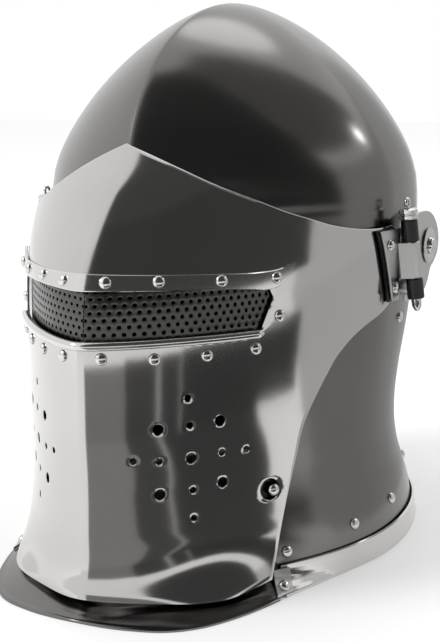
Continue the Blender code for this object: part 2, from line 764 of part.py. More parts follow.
def add_visor():
    edge_height = VISOR_REAR_EDGE[:, 0]
    shares = (edge_height - edge_height[0]) / (edge_height[-1] - edge_height[0])
    across = np.linspace(-1, 1, VISOR_COLUMNS + 1)
    angles = across[None, :] * np.radians(VISOR_REAR_EDGE[:, 1])[:, None]
    foot_at = np.abs(across) * VISOR_FOOT_EDGE[-1, 0]
    top_at = np.abs(across) * VISOR_TOP_EDGE[-1, 0]
    foot = np.interp(foot_at, VISOR_FOOT_EDGE[:, 0], VISOR_FOOT_EDGE[:, 1])
    top = np.interp(top_at, VISOR_TOP_EDGE[:, 0], VISOR_TOP_EDGE[:, 1])
    heights = between(foot, top, shares) * HEIGHT
    plate = patch(visor_point, angles, heights, -VISOR_WALL, VISOR_WALL)

    slot_across = np.linspace(-1, 1, 19)
    low_angle = np.radians(SLOT_FLOOR_DEG) * slot_across
    high_angle = np.radians(SLOT_TOP_EDGE[-1, 0]) * slot_across
    slot_top = smooth(SLOT_TOP_EDGE, 1, np.degrees(np.abs(high_angle))) * HEIGHT
    slot_angles = between(low_angle, high_angle, (0, 1))
    slot_heights = between(np.full(len(slot_across), SLOT_FLOOR), slot_top, (0, 1))
    slot = patch(visor_point, slot_angles, slot_heights, -0.008, 0.016)

    holes = []
    for angle, share, large in BREATHS:
        radius = (BREATH_LARGE if large else BREATH_SMALL) / 2
        for turn in (1, -1):
            holes.append(hole_cutter(visor_point, turn * angle, share, radius, 8))
    latch = hole_cutter(visor_point, LATCH_HOLE_DEG, LATCH_HOLE_Z / HEIGHT, LATCH_HOLE_RADIUS, 16)
    angle, share, radius = PIN_HOLE
    small = hole_cutter(visor_point, angle, share, radius, 6)

    floor = SLOT_FLOOR
    lip_profile = (
        (-0.0008, floor - 0.0032),
        (0.0010, floor - 0.0030),
        (0.0030, floor - 0.0002),
        (0.0034, floor + 0.0014),
        (0.0022, floor + 0.0018),
        (-0.0008, floor - 0.0004),
    )
    lip_end = np.radians(SLOT_FLOOR_DEG + 0.3)
    lip = swept(lip_profile, np.linspace(-lip_end, lip_end, 19), visor_point)
    cuts = (slot, joined(*holes), latch, small)
    visor = piece("visor", plate, STEEL_POLISHED, 0.12, cuts=cuts)
    helper = mesh_object("visor_lip", lip, 1)
    helper.hide_render = True
    helper.display_type = "WIRE"
    change = visor.modifiers.new("lip", "BOOLEAN")
    change.operation = "UNION"
    change.solver = "EXACT"
    change.object = helper


def add_band():
    end = BAND_EDGES[-1, 0]
    angles = np.linspace(-end, end, 2 * BAND_STEPS + 1)
    low = np.interp(np.abs(angles), BAND_EDGES[:, 0], BAND_EDGES[:, 1]) * HEIGHT
    high = np.interp(np.abs(angles), BAND_EDGES[:, 0], BAND_EDGES[:, 2]) * HEIGHT
    heights = between(low, high, (0, 0.5, 1))
    grid = np.radians(np.repeat(angles[None, :], 3, axis=0))
    piece("brow_band", patch(visor_point, grid, heights, 1.5 * GAP, BAND_WALL), STEEL_POLISHED, 0.12)


def sight_point(angle, height):
    """Just behind the visor's wall, its fold set a little deeper."""
    fold = SIGHT_FOLD_DEPTH * np.exp(-((np.degrees(angle) / SIGHT_FOLD_DEG) ** 2))
    return offset(visor_point, angle, height, -VISOR_WALL - 4 * GAP - SIGHT_WALL - fold)


def add_sight_plate():
    """A grid of cells, every other one pierced by a small diamond."""
    angles = np.radians(np.concatenate(([-44.0], np.linspace(-38.0, 38.0, 31), [44.0])))
    heights = np.array([0.4180, 0.4620, 0.4800, 0.4980, 0.5160, 0.5340, 0.5700]) * HEIGHT
    points = []
    faces = []
    known = {}

    def corner(angle, height, layer):
        key = (round(float(angle), 6), round(float(height), 6), layer)
        if key not in known:
            known[key] = len(points)
            wall = SIGHT_WALL if layer else 0.0
            points.append(offset(sight_point, angle, height, wall))
        return known[key]

    rows = len(heights) - 1
    columns = len(angles) - 1
    for row in range(rows):
        for column in range(columns):
            a0, a1 = angles[column], angles[column + 1]
            h0, h1 = heights[row], heights[row + 1]
            square = ((a0, h0), (a1, h0), (a1, h1), (a0, h1))
            inside = 0 < row < rows - 1 and 0 < column < columns - 1
            pierced = inside and (row + column) % 2 == 0
            if not pierced:
                for layer in (0, 1):
                    quad = [corner(a, h, layer) for a, h in square]
                    faces.append(tuple(quad if layer else quad[::-1]))
                continue
            am, hm = (a0 + a1) / 2, (h0 + h1) / 2
            da, dh = SIGHT_HOLE_SHARE * (a1 - a0), SIGHT_HOLE_SHARE * (h1 - h0)
            diamond = ((am, hm - dh), (am + da, hm), (am, hm + dh), (am - da, hm))
            for layer in (0, 1):
                outer = [corner(a, h, layer) for a, h in square]
                inner = [corner(a, h, layer) for a, h in diamond]
                for step in range(4):
                    after = (step + 1) % 4
                    first = (outer[step], outer[after], inner[step])
                    second = (outer[after], inner[after], inner[step])
                    faces.append(first if layer else first[::-1])
                    faces.append(second if layer else second[::-1])
            for step in range(4):
                after = (step + 1) % 4
                a, b = diamond[step], diamond[after]
                faces.append((corner(*a, 0), corner(*b, 0), corner(*b, 1), corner(*a, 1)))
    loop = [(angle, heights[0]) for angle in angles]
    loop += [(angles[-1], height) for height in heights[1:]]
    loop += [(angle, heights[-1]) for angle in angles[-2::-1]]
    loop += [(angles[0], height) for height in heights[-2:0:-1]]
    for step, here in enumerate(loop):
        there = loop[(step + 1) % len(loop)]
        faces.append((corner(*here, 0), corner(*there, 0), corner(*there, 1), corner(*here, 1)))
    piece("sight_plate", (np.array(points), faces), STEEL_POLISHED, 0.3)


def hinge_frame():
    """Origin on the hinge axis and its direction, leaning out at the foot as the helmet's side does."""
    lean = math.radians(HINGE_LEAN_DEG)
    return Vector((HINGE_X, HINGE_Y, HINGE_Z)), Vector((-math.sin(lean), 0.0, math.cos(lean)))


def hinge_box(low_x, high_x, back_from, back_to, low, high):
    """An upright box beside the hinge axis, its back and heights measured from HINGE_Y and HINGE_Z."""
    corners = ((back_from, low), (back_to, low), (back_to, high), (back_from, high))
    outline = [(HINGE_Y + back, HINGE_Z + height) for back, height in corners]
    return prism(outline, low_x, high_x)


def pivot_skull_x():
    """How far out the skull's surface lies at the pivot."""
    y = PIVOT_Y - CENTRE_Y
    radius = np.hypot(y, 0.9 * HALF_WIDTH)
    for _ in range(6):
        angle = math.pi / 2 + math.asin(y / radius)
        radius = float(np.hypot(*(skull_point(angle, PIVOT_Z)[:2] - (0, CENTRE_Y))))
    return float(skull_point(angle, PIVOT_Z)[0])


def add_hinge(name, side):
    origin, axis = hinge_frame()
    foot, low, high, head = KNUCKLE_CUTS
    bore = PIN_RADIUS + GAP
    lean = math.tan(math.radians(LEAF_LEAN_DEG))

    def leaf_grid(front_back, rear_back, low_z, high_z):
        heights = np.linspace(low_z, high_z, 4)
        angles = []
        for height in heights:
            front = front_back - (height - HINGE_Z) * lean
            row = []
            for back in np.linspace(front, rear_back, 4):
                y = HINGE_Y + back
                x = 0.960 * HALF_WIDTH
                row.append(math.atan2(x, CENTRE_Y - y))
            angles.append(row)
        return np.array(angles), np.repeat(heights[:, None], 4, axis=1)

    leaf_low = HINGE_Z - 0.0287
    leaf_high = HINGE_Z + 0.0110
    angles, heights = leaf_grid(-0.0190, -0.0045, leaf_low, leaf_high)
    pad = patch(visor_point, angles, heights, GAP, PAD_WALL)
    piece(f"hinge_pad_{name}", pad, STEEL_BLACK, 0.4, side)
    angles, heights = leaf_grid(-0.0178, -0.0024, leaf_low + 0.0006, leaf_high - 0.0006)
    leaf = patch(visor_point, angles, heights, 2 * GAP + PAD_WALL, LEAF_WALL)
    tongue = hinge_box(HINGE_X - 0.0060, HINGE_X - 0.0022, -0.0060, -0.0013, low + 2 * GAP, high - 2 * GAP)
    middle = turned(((low + GAP / 2, KNUCKLE_RADIUS), (high - GAP / 2, KNUCKLE_RADIUS)), origin, axis, 8)
    hole = turned(((-0.06, bore), (0.06, bore)), origin, axis, 8)
    piece(f"hinge_leaf_{name}", leaf, STEEL_SATIN, 0.3, side, joins=(middle, tongue), cuts=(hole,))

    outline = [(PIVOT_Y + y, PIVOT_Z + z) for y, z in ARM_OUTLINE]
    plate = prism(outline, ARM_FACE - ARM_WALL, ARM_FACE)
    joins = []
    for start, end in ((foot, low - GAP / 2), (high + GAP / 2, head)):
        joins.append(hinge_box(ARM_FACE - ARM_WALL, HINGE_X + 0.0010, 0.0016, 0.0085, start + 0.0006, end - 0.0006))
        joins.append(turned(((start, KNUCKLE_RADIUS), (end, KNUCKLE_RADIUS)), origin, axis, 10))
    pivot_bore = PIVOT_SHANK + GAP
    pivot_hole = turned(((0.08, pivot_bore), (0.14, pivot_bore)), (0, PIVOT_Y, PIVOT_Z), (1, 0, 0), 12, (0, 1, 0))
    piece(f"arm_{name}", plate, STEEL_SATIN, 0.35, side, joins=joins, cuts=(hole, pivot_hole))

    collar_low = head + GAP
    profile = (
        (PIN_TIP, 0.0),
        (PIN_TIP + 0.0007, 0.0012),
        (PIN_TIP + 0.0032, 0.93 * PIN_RADIUS),
        (foot - GAP, PIN_RADIUS),
        (collar_low, PIN_RADIUS),
        (collar_low, 0.94 * PIN_COLLAR_RADIUS),
        (collar_low + 0.0024, 0.94 * PIN_COLLAR_RADIUS),
        (collar_low + 0.0030, PIN_COLLAR_RADIUS),
        (PIN_COLLAR_TOP - 0.0008, PIN_COLLAR_RADIUS),
        (PIN_COLLAR_TOP, 0.80 * PIN_COLLAR_RADIUS),
    )
    eye_centre = origin + axis * (PIN_COLLAR_TOP + 0.86 * EYE_RADIUS)
    eye = tube(((-0.0009, EYE_RADIUS), (0.0009, EYE_RADIUS)), 0.42 * EYE_RADIUS, eye_centre, (1, 0, 0), 8)
    piece(f"hinge_pin_{name}", turned(profile, origin, axis, 10), STEEL_POLISHED, 0.2, side, joins=(eye,))

    face = ARM_FACE + GAP
    centre = (0.0, PIVOT_Y, PIVOT_Z)
    rim = WASHER_RADIUS
    ring = ((face, 0.93 * rim), (face + 0.3 * WASHER_WALL, rim), (face + 0.6 * WASHER_WALL, rim), (face + WASHER_WALL, 0.86 * rim))
    piece(f"pivot_washer_{name}", tube(ring, pivot_bore, centre, (1, 0, 0), 14), STEEL_POLISHED, 0.2, side)
    head_at = face + WASHER_WALL + GAP
    back = ARM_FACE - ARM_WALL - GAP
    skull_at = pivot_skull_x()
    clinch = skull_at - SKULL_WALL - 0.0016
    shoulder = min(skull_at + 0.0016, back - 0.0004)
    profile = (
        (clinch - 0.0018, 0.0046),
        (clinch, 0.0046),
        (clinch, PIVOT_SHANK),
        (shoulder, PIVOT_SHANK),
        (shoulder, 0.0052),
        (back, 0.0052),
        (back, PIVOT_SHANK),
        (head_at, PIVOT_SHANK),
        (head_at, 0.0048),
        (head_at + 0.0016, 0.0040),
        (head_at + 0.0028, 0.0022),
        (head_at + 0.0032, 0.0),
    )
    rivet = turned(profile, centre, (1, 0, 0), 10, (0, 1, 0))
    piece(f"pivot_rivet_{name}", rivet, STEEL_POLISHED, 0.25, side)


def add_latch():
    seat, out = latch_axis()
    angle = math.radians(LATCH_PIN_DEG)
    visor = visor_point(angle, LATCH_PIN_Z)
    reach = float(np.dot(visor - seat, out)) + LATCH_PROUD
    inside = -SKULL_WALL - 4 * GAP
    radius = LATCH_PIN_RADIUS
    profile = (
        (inside - 0.0022, 0.0),
        (inside - 0.0022, 1.6 * radius),
        (inside - 0.0007, 1.6 * radius),
        (inside - 0.0007, radius),
        (reach - 0.0022, radius),
        (reach - 0.0008, 0.78 * radius),
        (reach, 0.40 * radius),
        (reach, 0.0),
    )
    piece("latch_pin", turned(profile, seat, out, 12), STEEL_POLISHED, 0.25)


def add_rivets():
    band_out = 1.5 * GAP + BAND_WALL
    leaf_out = 2 * GAP + PAD_WALL + LEAF_WALL
    for name, side in side_names():
        for mark, angle, share in BAND_RIVETS:
            add_rivet(f"brow_rivet_{name}_{mark}", visor_point, angle, share, band_out, VISOR_RIVET, side)
        for mark, angle, share in LIP_RIVETS:
            add_rivet(f"lip_rivet_{name}_{mark}", visor_point, angle, share, 0.0, VISOR_RIVET, side)
        add_rivet(f"side_rivet_{name}", visor_point, *SIDE_RIVET, 0.0, VISOR_RIVET, side)
        for mark, angle, share in LEAF_RIVETS:
            add_rivet(f"leaf_rivet_{name}_{mark}", visor_point, angle, share, leaf_out, SKULL_RIVET, side)
        for mark, angle, share in SKULL_RIVETS:
            add_rivet(f"skull_rivet_{name}_{mark}", skull_point, angle, share, 0.0, SKULL_RIVET, side)


add_skull()
add_foot()
add_visor()
add_band()
add_sight_plate()
for hand, sign in side_names():
    add_hinge(hand, sign)
add_latch()
add_rivets()
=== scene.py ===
"""The look of the visored barbute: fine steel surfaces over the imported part, in the same frame.

Plates are grids over an angle (0 at the face, positive to the left side) and a height. A table gives each height's
half width and reach, and the plan between them is the curve (x / half width)^a + (y / reach)^b = 1.
"""

import json
import math

import bmesh
import bpy
import numpy as np
from mathutils import Matrix, Vector


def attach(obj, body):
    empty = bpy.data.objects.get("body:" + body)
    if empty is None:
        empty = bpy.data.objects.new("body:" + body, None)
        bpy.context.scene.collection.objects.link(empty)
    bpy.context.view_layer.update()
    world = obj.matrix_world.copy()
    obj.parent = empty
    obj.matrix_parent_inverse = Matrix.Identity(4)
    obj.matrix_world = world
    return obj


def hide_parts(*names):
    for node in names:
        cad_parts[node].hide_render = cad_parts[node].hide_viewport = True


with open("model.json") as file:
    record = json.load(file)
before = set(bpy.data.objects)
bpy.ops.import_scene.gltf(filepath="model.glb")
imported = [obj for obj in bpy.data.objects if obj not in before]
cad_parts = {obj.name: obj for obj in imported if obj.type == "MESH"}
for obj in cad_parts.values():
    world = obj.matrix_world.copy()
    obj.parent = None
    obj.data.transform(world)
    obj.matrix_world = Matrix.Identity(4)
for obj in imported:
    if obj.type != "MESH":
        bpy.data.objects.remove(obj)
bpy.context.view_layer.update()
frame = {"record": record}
# The whole helmet
HEIGHT = 0.3028
HALF_WIDTH = 0.112
FRONT_REACH = 0.152
REAR_REACH = 0.152
CENTRE_Y = 0.018
GAP = 0.0003

# Skull
SKULL_WALL = 0.0015
SKULL_FOOT = 0.0100
DOME_APEX_Y = 0.045
DOME_CENTRE_SHIFT = 0.0034
DOME_FRONT_POWER = 2.07
DOME_SIDE_POWER = 1.43
DOME_REAR_POWER = 1.95

# Foot ring: collar in front, trim behind
RIM_WALL = 0.0014
FOOT_LAP = 0.0022
FLARE_TOP = 0.020
TRIM_TOP = 0.0135
COLLAR_TOP = 0.030
FOOT_JOINT_DEG = 40.0
COLLAR_SLACK = 0.0013
TAB_WIDTH = 0.010
TAB_WALL = 0.0012

# Visor and what it carries
VISOR_WALL = 0.0015
SIDE_FLARE = 0.009
SIDE_FLARE_DEG = 25.0
SIDE_FLARE_SPREAD_DEG = 11.0
SIDE_FLARE_TOP = 0.034
SLOT_FLOOR = 0.1384
SLOT_FLOOR_DEG = 36.0
BAND_WALL = 0.0016
SIGHT_WALL = 0.0008
SIGHT_FOLD_DEPTH = 0.0024
SIGHT_FOLD_DEG = 9.0
BREATH_LARGE = 0.0056
BREATH_SMALL = 0.0036

# Hinges and pivots
HINGE_X = 0.1183
HINGE_Y = 0.0123
HINGE_Z = 0.170
HINGE_LEAN_DEG = 6.0
LEAF_LEAN_DEG = 15.0
KNUCKLE_RADIUS = 0.0046
PIN_RADIUS = 0.0028
PIN_COLLAR_RADIUS = 0.0052
EYE_RADIUS = 0.0033
PAD_WALL = 0.0019
LEAF_WALL = 0.0012
ARM_WALL = 0.0018
ARM_FACE = 0.1128
PIVOT_Y = 0.0583
PIVOT_Z = 0.1645
PIVOT_SHANK = 0.0030
WASHER_RADIUS = 0.0100
WASHER_WALL = 0.0015

# Latch
LATCH_HOLE_RADIUS = 0.00575
LATCH_HOLE_DEG = 37.9
LATCH_HOLE_Z = 0.055
LATCH_PIN_RADIUS = 0.0033
LATCH_PIN_DEG = 38.8
LATCH_PIN_Z = 0.0545
LATCH_PROUD = 0.0025

# Rivet heads: radius and height
VISOR_RIVET = (0.0031, 0.0020)
SKULL_RIVET = (0.0032, 0.0022)

# Columns: height, half width, front reach, rear reach (shares of the helmet's), a and b in front, b behind
SKULL_ROWS = np.array(
    (
        (0.0000, 0.978, 0.914, 0.961, 1.00, 2.15, 2.00),
        (0.0462, 0.976, 0.914, 0.942, 1.00, 2.15, 2.00),
        (0.0892, 0.960, 0.908, 0.899, 1.00, 2.15, 2.00),
        (0.1222, 0.940, 0.901, 0.857, 1.00, 2.15, 2.00),
        (0.1486, 0.922, 0.895, 0.829, 1.00, 2.15, 2.00),
        (0.1882, 0.905, 0.888, 0.801, 1.00, 2.15, 2.02),
        (0.2477, 0.900, 0.878, 0.786, 1.00, 2.15, 2.06),
        (0.3137, 0.909, 0.846, 0.808, 1.04, 2.10, 2.18),
        (0.3831, 0.922, 0.790, 0.858, 1.08, 2.05, 2.38),
        (0.4690, 0.936, 0.697, 0.903, 1.12, 1.98, 2.54),
        (0.5614, 0.944, 0.616, 0.931, 1.15, 1.88, 2.62),
        (0.6691, 0.946, 0.573, 0.936, 1.18, 1.80, 2.52),
    )
)

# Columns: height, half width, front reach (shares of the helmet's)
VISOR_ROWS = np.array(
    (
        (0.0000, 1.054, 1.000),
        (0.0363, 1.012, 0.974),
        (0.0727, 0.985, 0.947),
        (0.1321, 0.955, 0.934),
        (0.2048, 0.946, 0.924),
        (0.3005, 0.958, 0.924),
        (0.3666, 0.968, 0.918),
        (0.4590, 0.979, 0.908),
        (0.5449, 0.985, 0.878),
        (0.5713, 0.986, 0.858),
        (0.6176, 0.980, 0.809),
        (0.6856, 0.961, 0.711),
        (0.7596, 0.940, 0.568),
        (0.7926, 0.930, 0.513),
    )
)

# Columns: height as a share of the helmet's, a and b of the plan curve
VISOR_PLAN = np.array(
    (
        (0.00, 1.370, 1.740),
        (0.25, 1.360, 1.730),
        (0.42, 1.335, 1.705),
        (0.57, 1.310, 1.660),
        (0.68, 1.270, 1.560),
        (0.80, 1.240, 1.510),
    )
)

# Columns: height as a share of the helmet's, angle in degrees
VISOR_REAR_EDGE = np.array(
    (
        (0.0320, 37.2),
        (0.0670, 38.9),
        (0.1199, 41.1),
        (0.1793, 43.6),
        (0.2325, 46.0),
        (0.2910, 48.8),
        (0.3289, 52.3),
        (0.3653, 56.4),
        (0.3983, 61.1),
        (0.4330, 70.9),
        (0.4470, 78.0),
        (0.4600, 82.8),
        (0.4950, 83.4),
        (0.5290, 84.0),
        (0.5640, 84.6),
        (0.6020, 85.0),
    )
)

# Columns: angle in degrees, height as a share of the helmet's
VISOR_TOP_EDGE = np.array(
    (
        (0.0, 0.7644),
        (7.8, 0.7456),
        (16.0, 0.7239),
        (27.0, 0.6932),
        (38.6, 0.6647),
        (45.1, 0.6480),
        (53.0, 0.6316),
        (59.7, 0.6182),
        (66.0, 0.6095),
        (72.7, 0.6037),
        (79.1, 0.6010),
        (85.0, 0.6020),
    )
)
VISOR_FOOT_EDGE = np.array(((0.0, 0.0363), (10.0, 0.0280), (20.0, 0.0225), (28.0, 0.0225), (37.6, 0.0320)))
SLOT_TOP_EDGE = np.array(
    (
        (0.0, 0.5407),
        (14.0, 0.5372),
        (26.5, 0.5321),
        (36.5, 0.5262),
        (38.8, 0.5243),
        (39.7, 0.5118),
    )
)

# Columns: angle in degrees, lower edge, upper edge (shares of the helmet's height)
BAND_EDGES = np.array(
    (
        (0.0, 0.5401, 0.5673),
        (8.0, 0.5392, 0.5640),
        (17.0, 0.5362, 0.5606),
        (26.2, 0.5325, 0.5575),
        (34.5, 0.5275, 0.5547),
        (38.5, 0.5252, 0.5553),
        (40.8, 0.5285, 0.5566),
        (43.2, 0.5400, 0.5602),
        (45.9, 0.5610, 0.5668),
    )
)

# Columns: angle in degrees, distance from CENTRE_Y as a share of the front reach
RIM_PLAN = np.array(
    (
        (0.0, 1.1184),
        (10.0, 1.1184),
        (17.0, 1.1053),
        (22.0, 1.0691),
        (27.2, 1.0099),
        (33.8, 0.9309),
        (41.2, 0.8520),
        (51.8, 0.7862),
        (62.3, 0.7533),
        (77.7, 0.7401),
        (90.0, 0.7368),
    )
)

# Columns: share of the flare, height as a share of FLARE_TOP above the rim's wall
FOOT_PROFILE = ((1.00, 0.0), (0.88, 0.0), (0.62, 0.085), (0.38, 0.20), (0.20, 0.35), (0.08, 0.54), (0.02, 0.75), (0.0, 1.0))

# Columns: angle in degrees, height as a share of the helmet's, large
BREATHS = (
    (9.1, 0.2620, False),
    (13.6, 0.3120, True),
    (13.6, 0.2580, False),
    (13.6, 0.2015, True),
    (19.3, 0.3600, False),
    (19.6, 0.3138, False),
    (19.7, 0.2580, True),
    (19.9, 0.2028, False),
    (20.0, 0.1550, False),
    (25.9, 0.3160, True),
    (26.2, 0.2613, False),
    (26.2, 0.2090, True),
    (31.9, 0.2600, False),
)
PIN_HOLE = (42.9, 0.2138, 0.0008)

# Columns: name, angle in degrees, height as a share of the helmet's
BAND_RIVETS = (("1", 4.4, 0.5530), ("2", 13.8, 0.5514), ("3", 26.6, 0.5463), ("4", 40.3, 0.5435))
LIP_RIVETS = (("1", 4.1, 0.4332), ("2", 13.2, 0.4285), ("3", 23.4, 0.4275), ("4", 34.7, 0.4294))
SIDE_RIVET = (41.3, 0.4793)
LEAF_RIVETS = (("upper", 80.4, 0.5700), ("lower", 83.0, 0.4927))
SKULL_RIVETS = (
    ("temple", 100.0, 0.4164),
    ("foot_1", 42.4, 0.0634),
    ("foot_2", 65.8, 0.0782),
    ("foot_3", 87.0, 0.0871),
    ("foot_4", 124.0, 0.1020),
)

# Columns: forward (y) and up (z) of the face opening's rear outline, as shares of front reach and height
FACE_EDGE = (
    (-0.620, 0.0479),
    (-0.620, 0.1000),
    (-0.550, 0.1820),
    (-0.470, 0.2970),
    (-0.390, 0.3960),
    (-0.310, 0.4800),
    (-0.300, 0.5450),
    (-0.390, 0.6176),
)
NOTCH_Y = -0.484

# Columns: back from the front reach's origin (y) and up (z) in metres from the pivot, the arm's outline
ARM_OUTLINE = (
    (-0.0455, 0.0182),
    (-0.0280, 0.0200),
    (-0.0080, 0.0208),
    (0.0060, 0.0190),
    (0.0170, 0.0115),
    (0.0212, 0.0025),
    (0.0195, -0.0060),
    (0.0120, -0.0112),
    (0.0050, -0.0135),
    (0.0010, -0.0205),
    (-0.0080, -0.0268),
    (-0.0380, -0.0268),
    (-0.0392, -0.0240),
)

# Columns: share along the hinge axis from HINGE_Z in metres
KNUCKLE_CUTS = (-0.0279, -0.0166, 0.0032, 0.0151)
PIN_TIP = -0.0350
PIN_COLLAR_TOP = 0.0212


def smooth(rows, column, at):
    """The table's column at these heights, as a cubic through its rows."""
    heights = rows[:, 0]
    values = rows[:, column]
    slopes = np.gradient(values, heights)
    at = np.clip(at, heights[0], heights[-1])
    index = np.clip(np.searchsorted(heights, at, side="right") - 1, 0, len(heights) - 2)
    span = heights[index + 1] - heights[index]
    t = (at - heights[index]) / span
    return (
        (1 + 2 * t) * (1 - t) ** 2 * values[index]
        + t * (1 - t) ** 2 * span * slopes[index]
        + t * t * (3 - 2 * t) * values[index + 1]
        + t * t * (t - 1) * span * slopes[index + 1]
    )


def plan_radius(angle, half_width, reach, a, b):
    """Distance from the centre to the plan curve, found by halving."""
    across = np.abs(np.sin(angle)) / half_width
    along = np.abs(np.cos(angle)) / reach
    low = np.zeros(np.shape(across + along))
    high = low + 0.4
    for _ in range(40):
        middle = (low + high) / 2
        inside = (middle * across) ** a + (middle * along) ** b < 1
        low = np.where(inside, middle, low)
        high = np.where(inside, high, middle)
    return low


def at_angle(angle, radius, centre_y, height):
    """Points at this distance from (0, centre_y)."""
    angle, radius, centre_y, height = np.broadcast_arrays(angle, radius, centre_y, height)
    return np.stack((radius * np.sin(angle), centre_y - radius * np.cos(angle), height), axis=-1)


def rim_radius(angle):
    """Distance from CENTRE_Y to the rim: a table in front, an ellipse behind."""
    turned = np.degrees(np.abs(angle))
    front = FRONT_REACH * smooth(RIM_PLAN, 1, np.minimum(turned, 90.0))
    rear = plan_radius(angle, HALF_WIDTH, REAR_REACH - CENTRE_Y, 2.0, 2.0)
    return np.where(turned < 90, front, rear)


def flare_share(height):
    shares = [row[0] for row in FOOT_PROFILE][::-1]
    heights = [RIM_WALL + row[1] * (FLARE_TOP - RIM_WALL) for row in FOOT_PROFILE][::-1]
    order = np.argsort(heights)
    return np.interp(height, np.array(heights)[order], np.array(shares)[order])


def skull_plan(angle, share):
    """Radius of the skull below the dome, before its foot flares."""
    half = HALF_WIDTH * smooth(SKULL_ROWS, 1, share)
    front = FRONT_REACH * smooth(SKULL_ROWS, 2, share) + CENTRE_Y
    rear = REAR_REACH * smooth(SKULL_ROWS, 3, share) - CENTRE_Y
    facing = np.cos(angle) > 0
    reach = np.where(facing, front, rear)
    behind = smooth(SKULL_ROWS, 6, share)
    a = np.where(facing, smooth(SKULL_ROWS, 4, share), behind)
    b = np.where(facing, smooth(SKULL_ROWS, 5, share), behind)
    return plan_radius(angle, half, reach, a, b)


def skull_point(angle, height):
    """The skull's outer surface: the table below, three superellipses that meet at the apex above."""
    angle, height = np.broadcast_arrays(np.asarray(angle, float), np.asarray(height, float))
    base_share = SKULL_ROWS[-1, 0]
    base = base_share * HEIGHT
    low = np.minimum(height, base)
    share = low / HEIGHT
    flare = flare_share(low)
    radius = skull_plan(angle, share) * (1 - flare) + (rim_radius(angle) - FOOT_LAP) * flare
    slide = DOME_CENTRE_SHIFT * np.clip((share - 0.45) / (base_share - 0.45), 0, 1) ** 2
    below = at_angle(angle, radius, CENTRE_Y + slide, low)
    rise = np.clip((height - base) / (HEIGHT - base), 0, 1)
    side = (1 - rise**DOME_SIDE_POWER) ** (1 / DOME_SIDE_POWER)
    ahead = (1 - rise**DOME_FRONT_POWER) ** (1 / DOME_FRONT_POWER)
    behind = (1 - rise**DOME_REAR_POWER) ** (1 / DOME_REAR_POWER)
    centre = DOME_APEX_Y - (DOME_APEX_Y - CENTRE_Y - DOME_CENTRE_SHIFT) * side
    front = (DOME_APEX_Y + FRONT_REACH * SKULL_ROWS[-1, 2]) * ahead - (DOME_APEX_Y - centre)
    rear = (REAR_REACH * SKULL_ROWS[-1, 3] - DOME_APEX_Y) * behind + (DOME_APEX_Y - centre)
    facing = np.cos(angle) > 0
    reach = np.where(facing, front, rear)
    a = np.where(facing, SKULL_ROWS[-1, 4], SKULL_ROWS[-1, 6])
    b = np.where(facing, SKULL_ROWS[-1, 5], SKULL_ROWS[-1, 6])
    half = HALF_WIDTH * SKULL_ROWS[-1, 1] * side
    tiny = 1e-6
    dome = at_angle(angle, plan_radius(angle, half + tiny, reach + tiny, a, b), centre, height)
    return np.where((height > base)[..., None], dome, below)


def visor_point(angle, height):
    """The visor's outer surface, creased in front, with its foot flared most at SIDE_FLARE_DEG."""
    angle, height = np.broadcast_arrays(np.asarray(angle, float), np.asarray(height, float))
    share = height / HEIGHT
    half = HALF_WIDTH * smooth(VISOR_ROWS, 1, share)
    reach = FRONT_REACH * smooth(VISOR_ROWS, 2, share) + CENTRE_Y
    turned = (np.degrees(np.abs(angle)) - SIDE_FLARE_DEG) / SIDE_FLARE_SPREAD_DEG
    fade = np.clip(1 - height / SIDE_FLARE_TOP, 0, 1) ** 1.6
    a = smooth(VISOR_PLAN, 1, share)
    b = smooth(VISOR_PLAN, 2, share)
    radius = plan_radius(angle, half, reach, a, b) + SIDE_FLARE * np.exp(-(turned**2)) * fade
    return at_angle(angle, radius, CENTRE_Y, height)


def offset(surface, angle, height, out):
    """Points this far outside the surface, along its normal."""
    small = 0.006
    step = 0.0006
    angle, height = np.broadcast_arrays(np.asarray(angle, float), np.asarray(height, float))
    along = surface(angle + small, height) - surface(angle - small, height)
    up = surface(angle, height + step) - surface(angle, height - step)
    normal = np.cross(along, up)
    normal /= np.linalg.norm(normal, axis=-1, keepdims=True)
    return surface(angle, height) + normal * np.asarray(out, float)[..., None]


def normal_at(surface, angle, height):
    here = offset(surface, angle, height, 0.0)
    return offset(surface, angle, height, 0.001) * 1000 - here * 1000


def latch_axis():
    """A point of the latch pin's axis level with the skull, and its direction, square to the visor."""
    angle = math.radians(LATCH_PIN_DEG)
    out = normal_at(visor_point, angle, LATCH_PIN_Z)
    over = visor_point(angle, LATCH_PIN_Z)
    depth = np.dot(over - skull_point(angle, LATCH_PIN_Z), out)
    return over - out * depth, out


def foot_grid(angles, profile):
    """The outer surface of the foot ring. profile holds (flare share, height, lap outside the skull)."""
    rows = []
    for flare, height, lap in profile:
        radius = (skull_plan(angles, height / HEIGHT) + lap) * (1 - flare) + rim_radius(angles) * flare
        rows.append(at_angle(angles, radius, CENTRE_Y, np.full(np.shape(angles), height)))
    return np.array(rows)


def hinge_frame():
    """Origin on the hinge axis and its direction, leaning out at the foot as the helmet's side does."""
    lean = math.radians(HINGE_LEAN_DEG)
    return Vector((HINGE_X, HINGE_Y, HINGE_Z)), Vector((-math.sin(lean), 0.0, math.cos(lean)))


def pivot_skull_x():
    """How far out the skull's surface lies at the pivot."""
    y = PIVOT_Y - CENTRE_Y
    radius = np.hypot(y, 0.9 * HALF_WIDTH)
    for _ in range(6):
        angle = math.pi / 2 + math.asin(y / radius)
        radius = float(np.hypot(*(skull_point(angle, PIVOT_Z)[:2] - (0, CENTRE_Y))))
    return float(skull_point(angle, PIVOT_Z)[0])


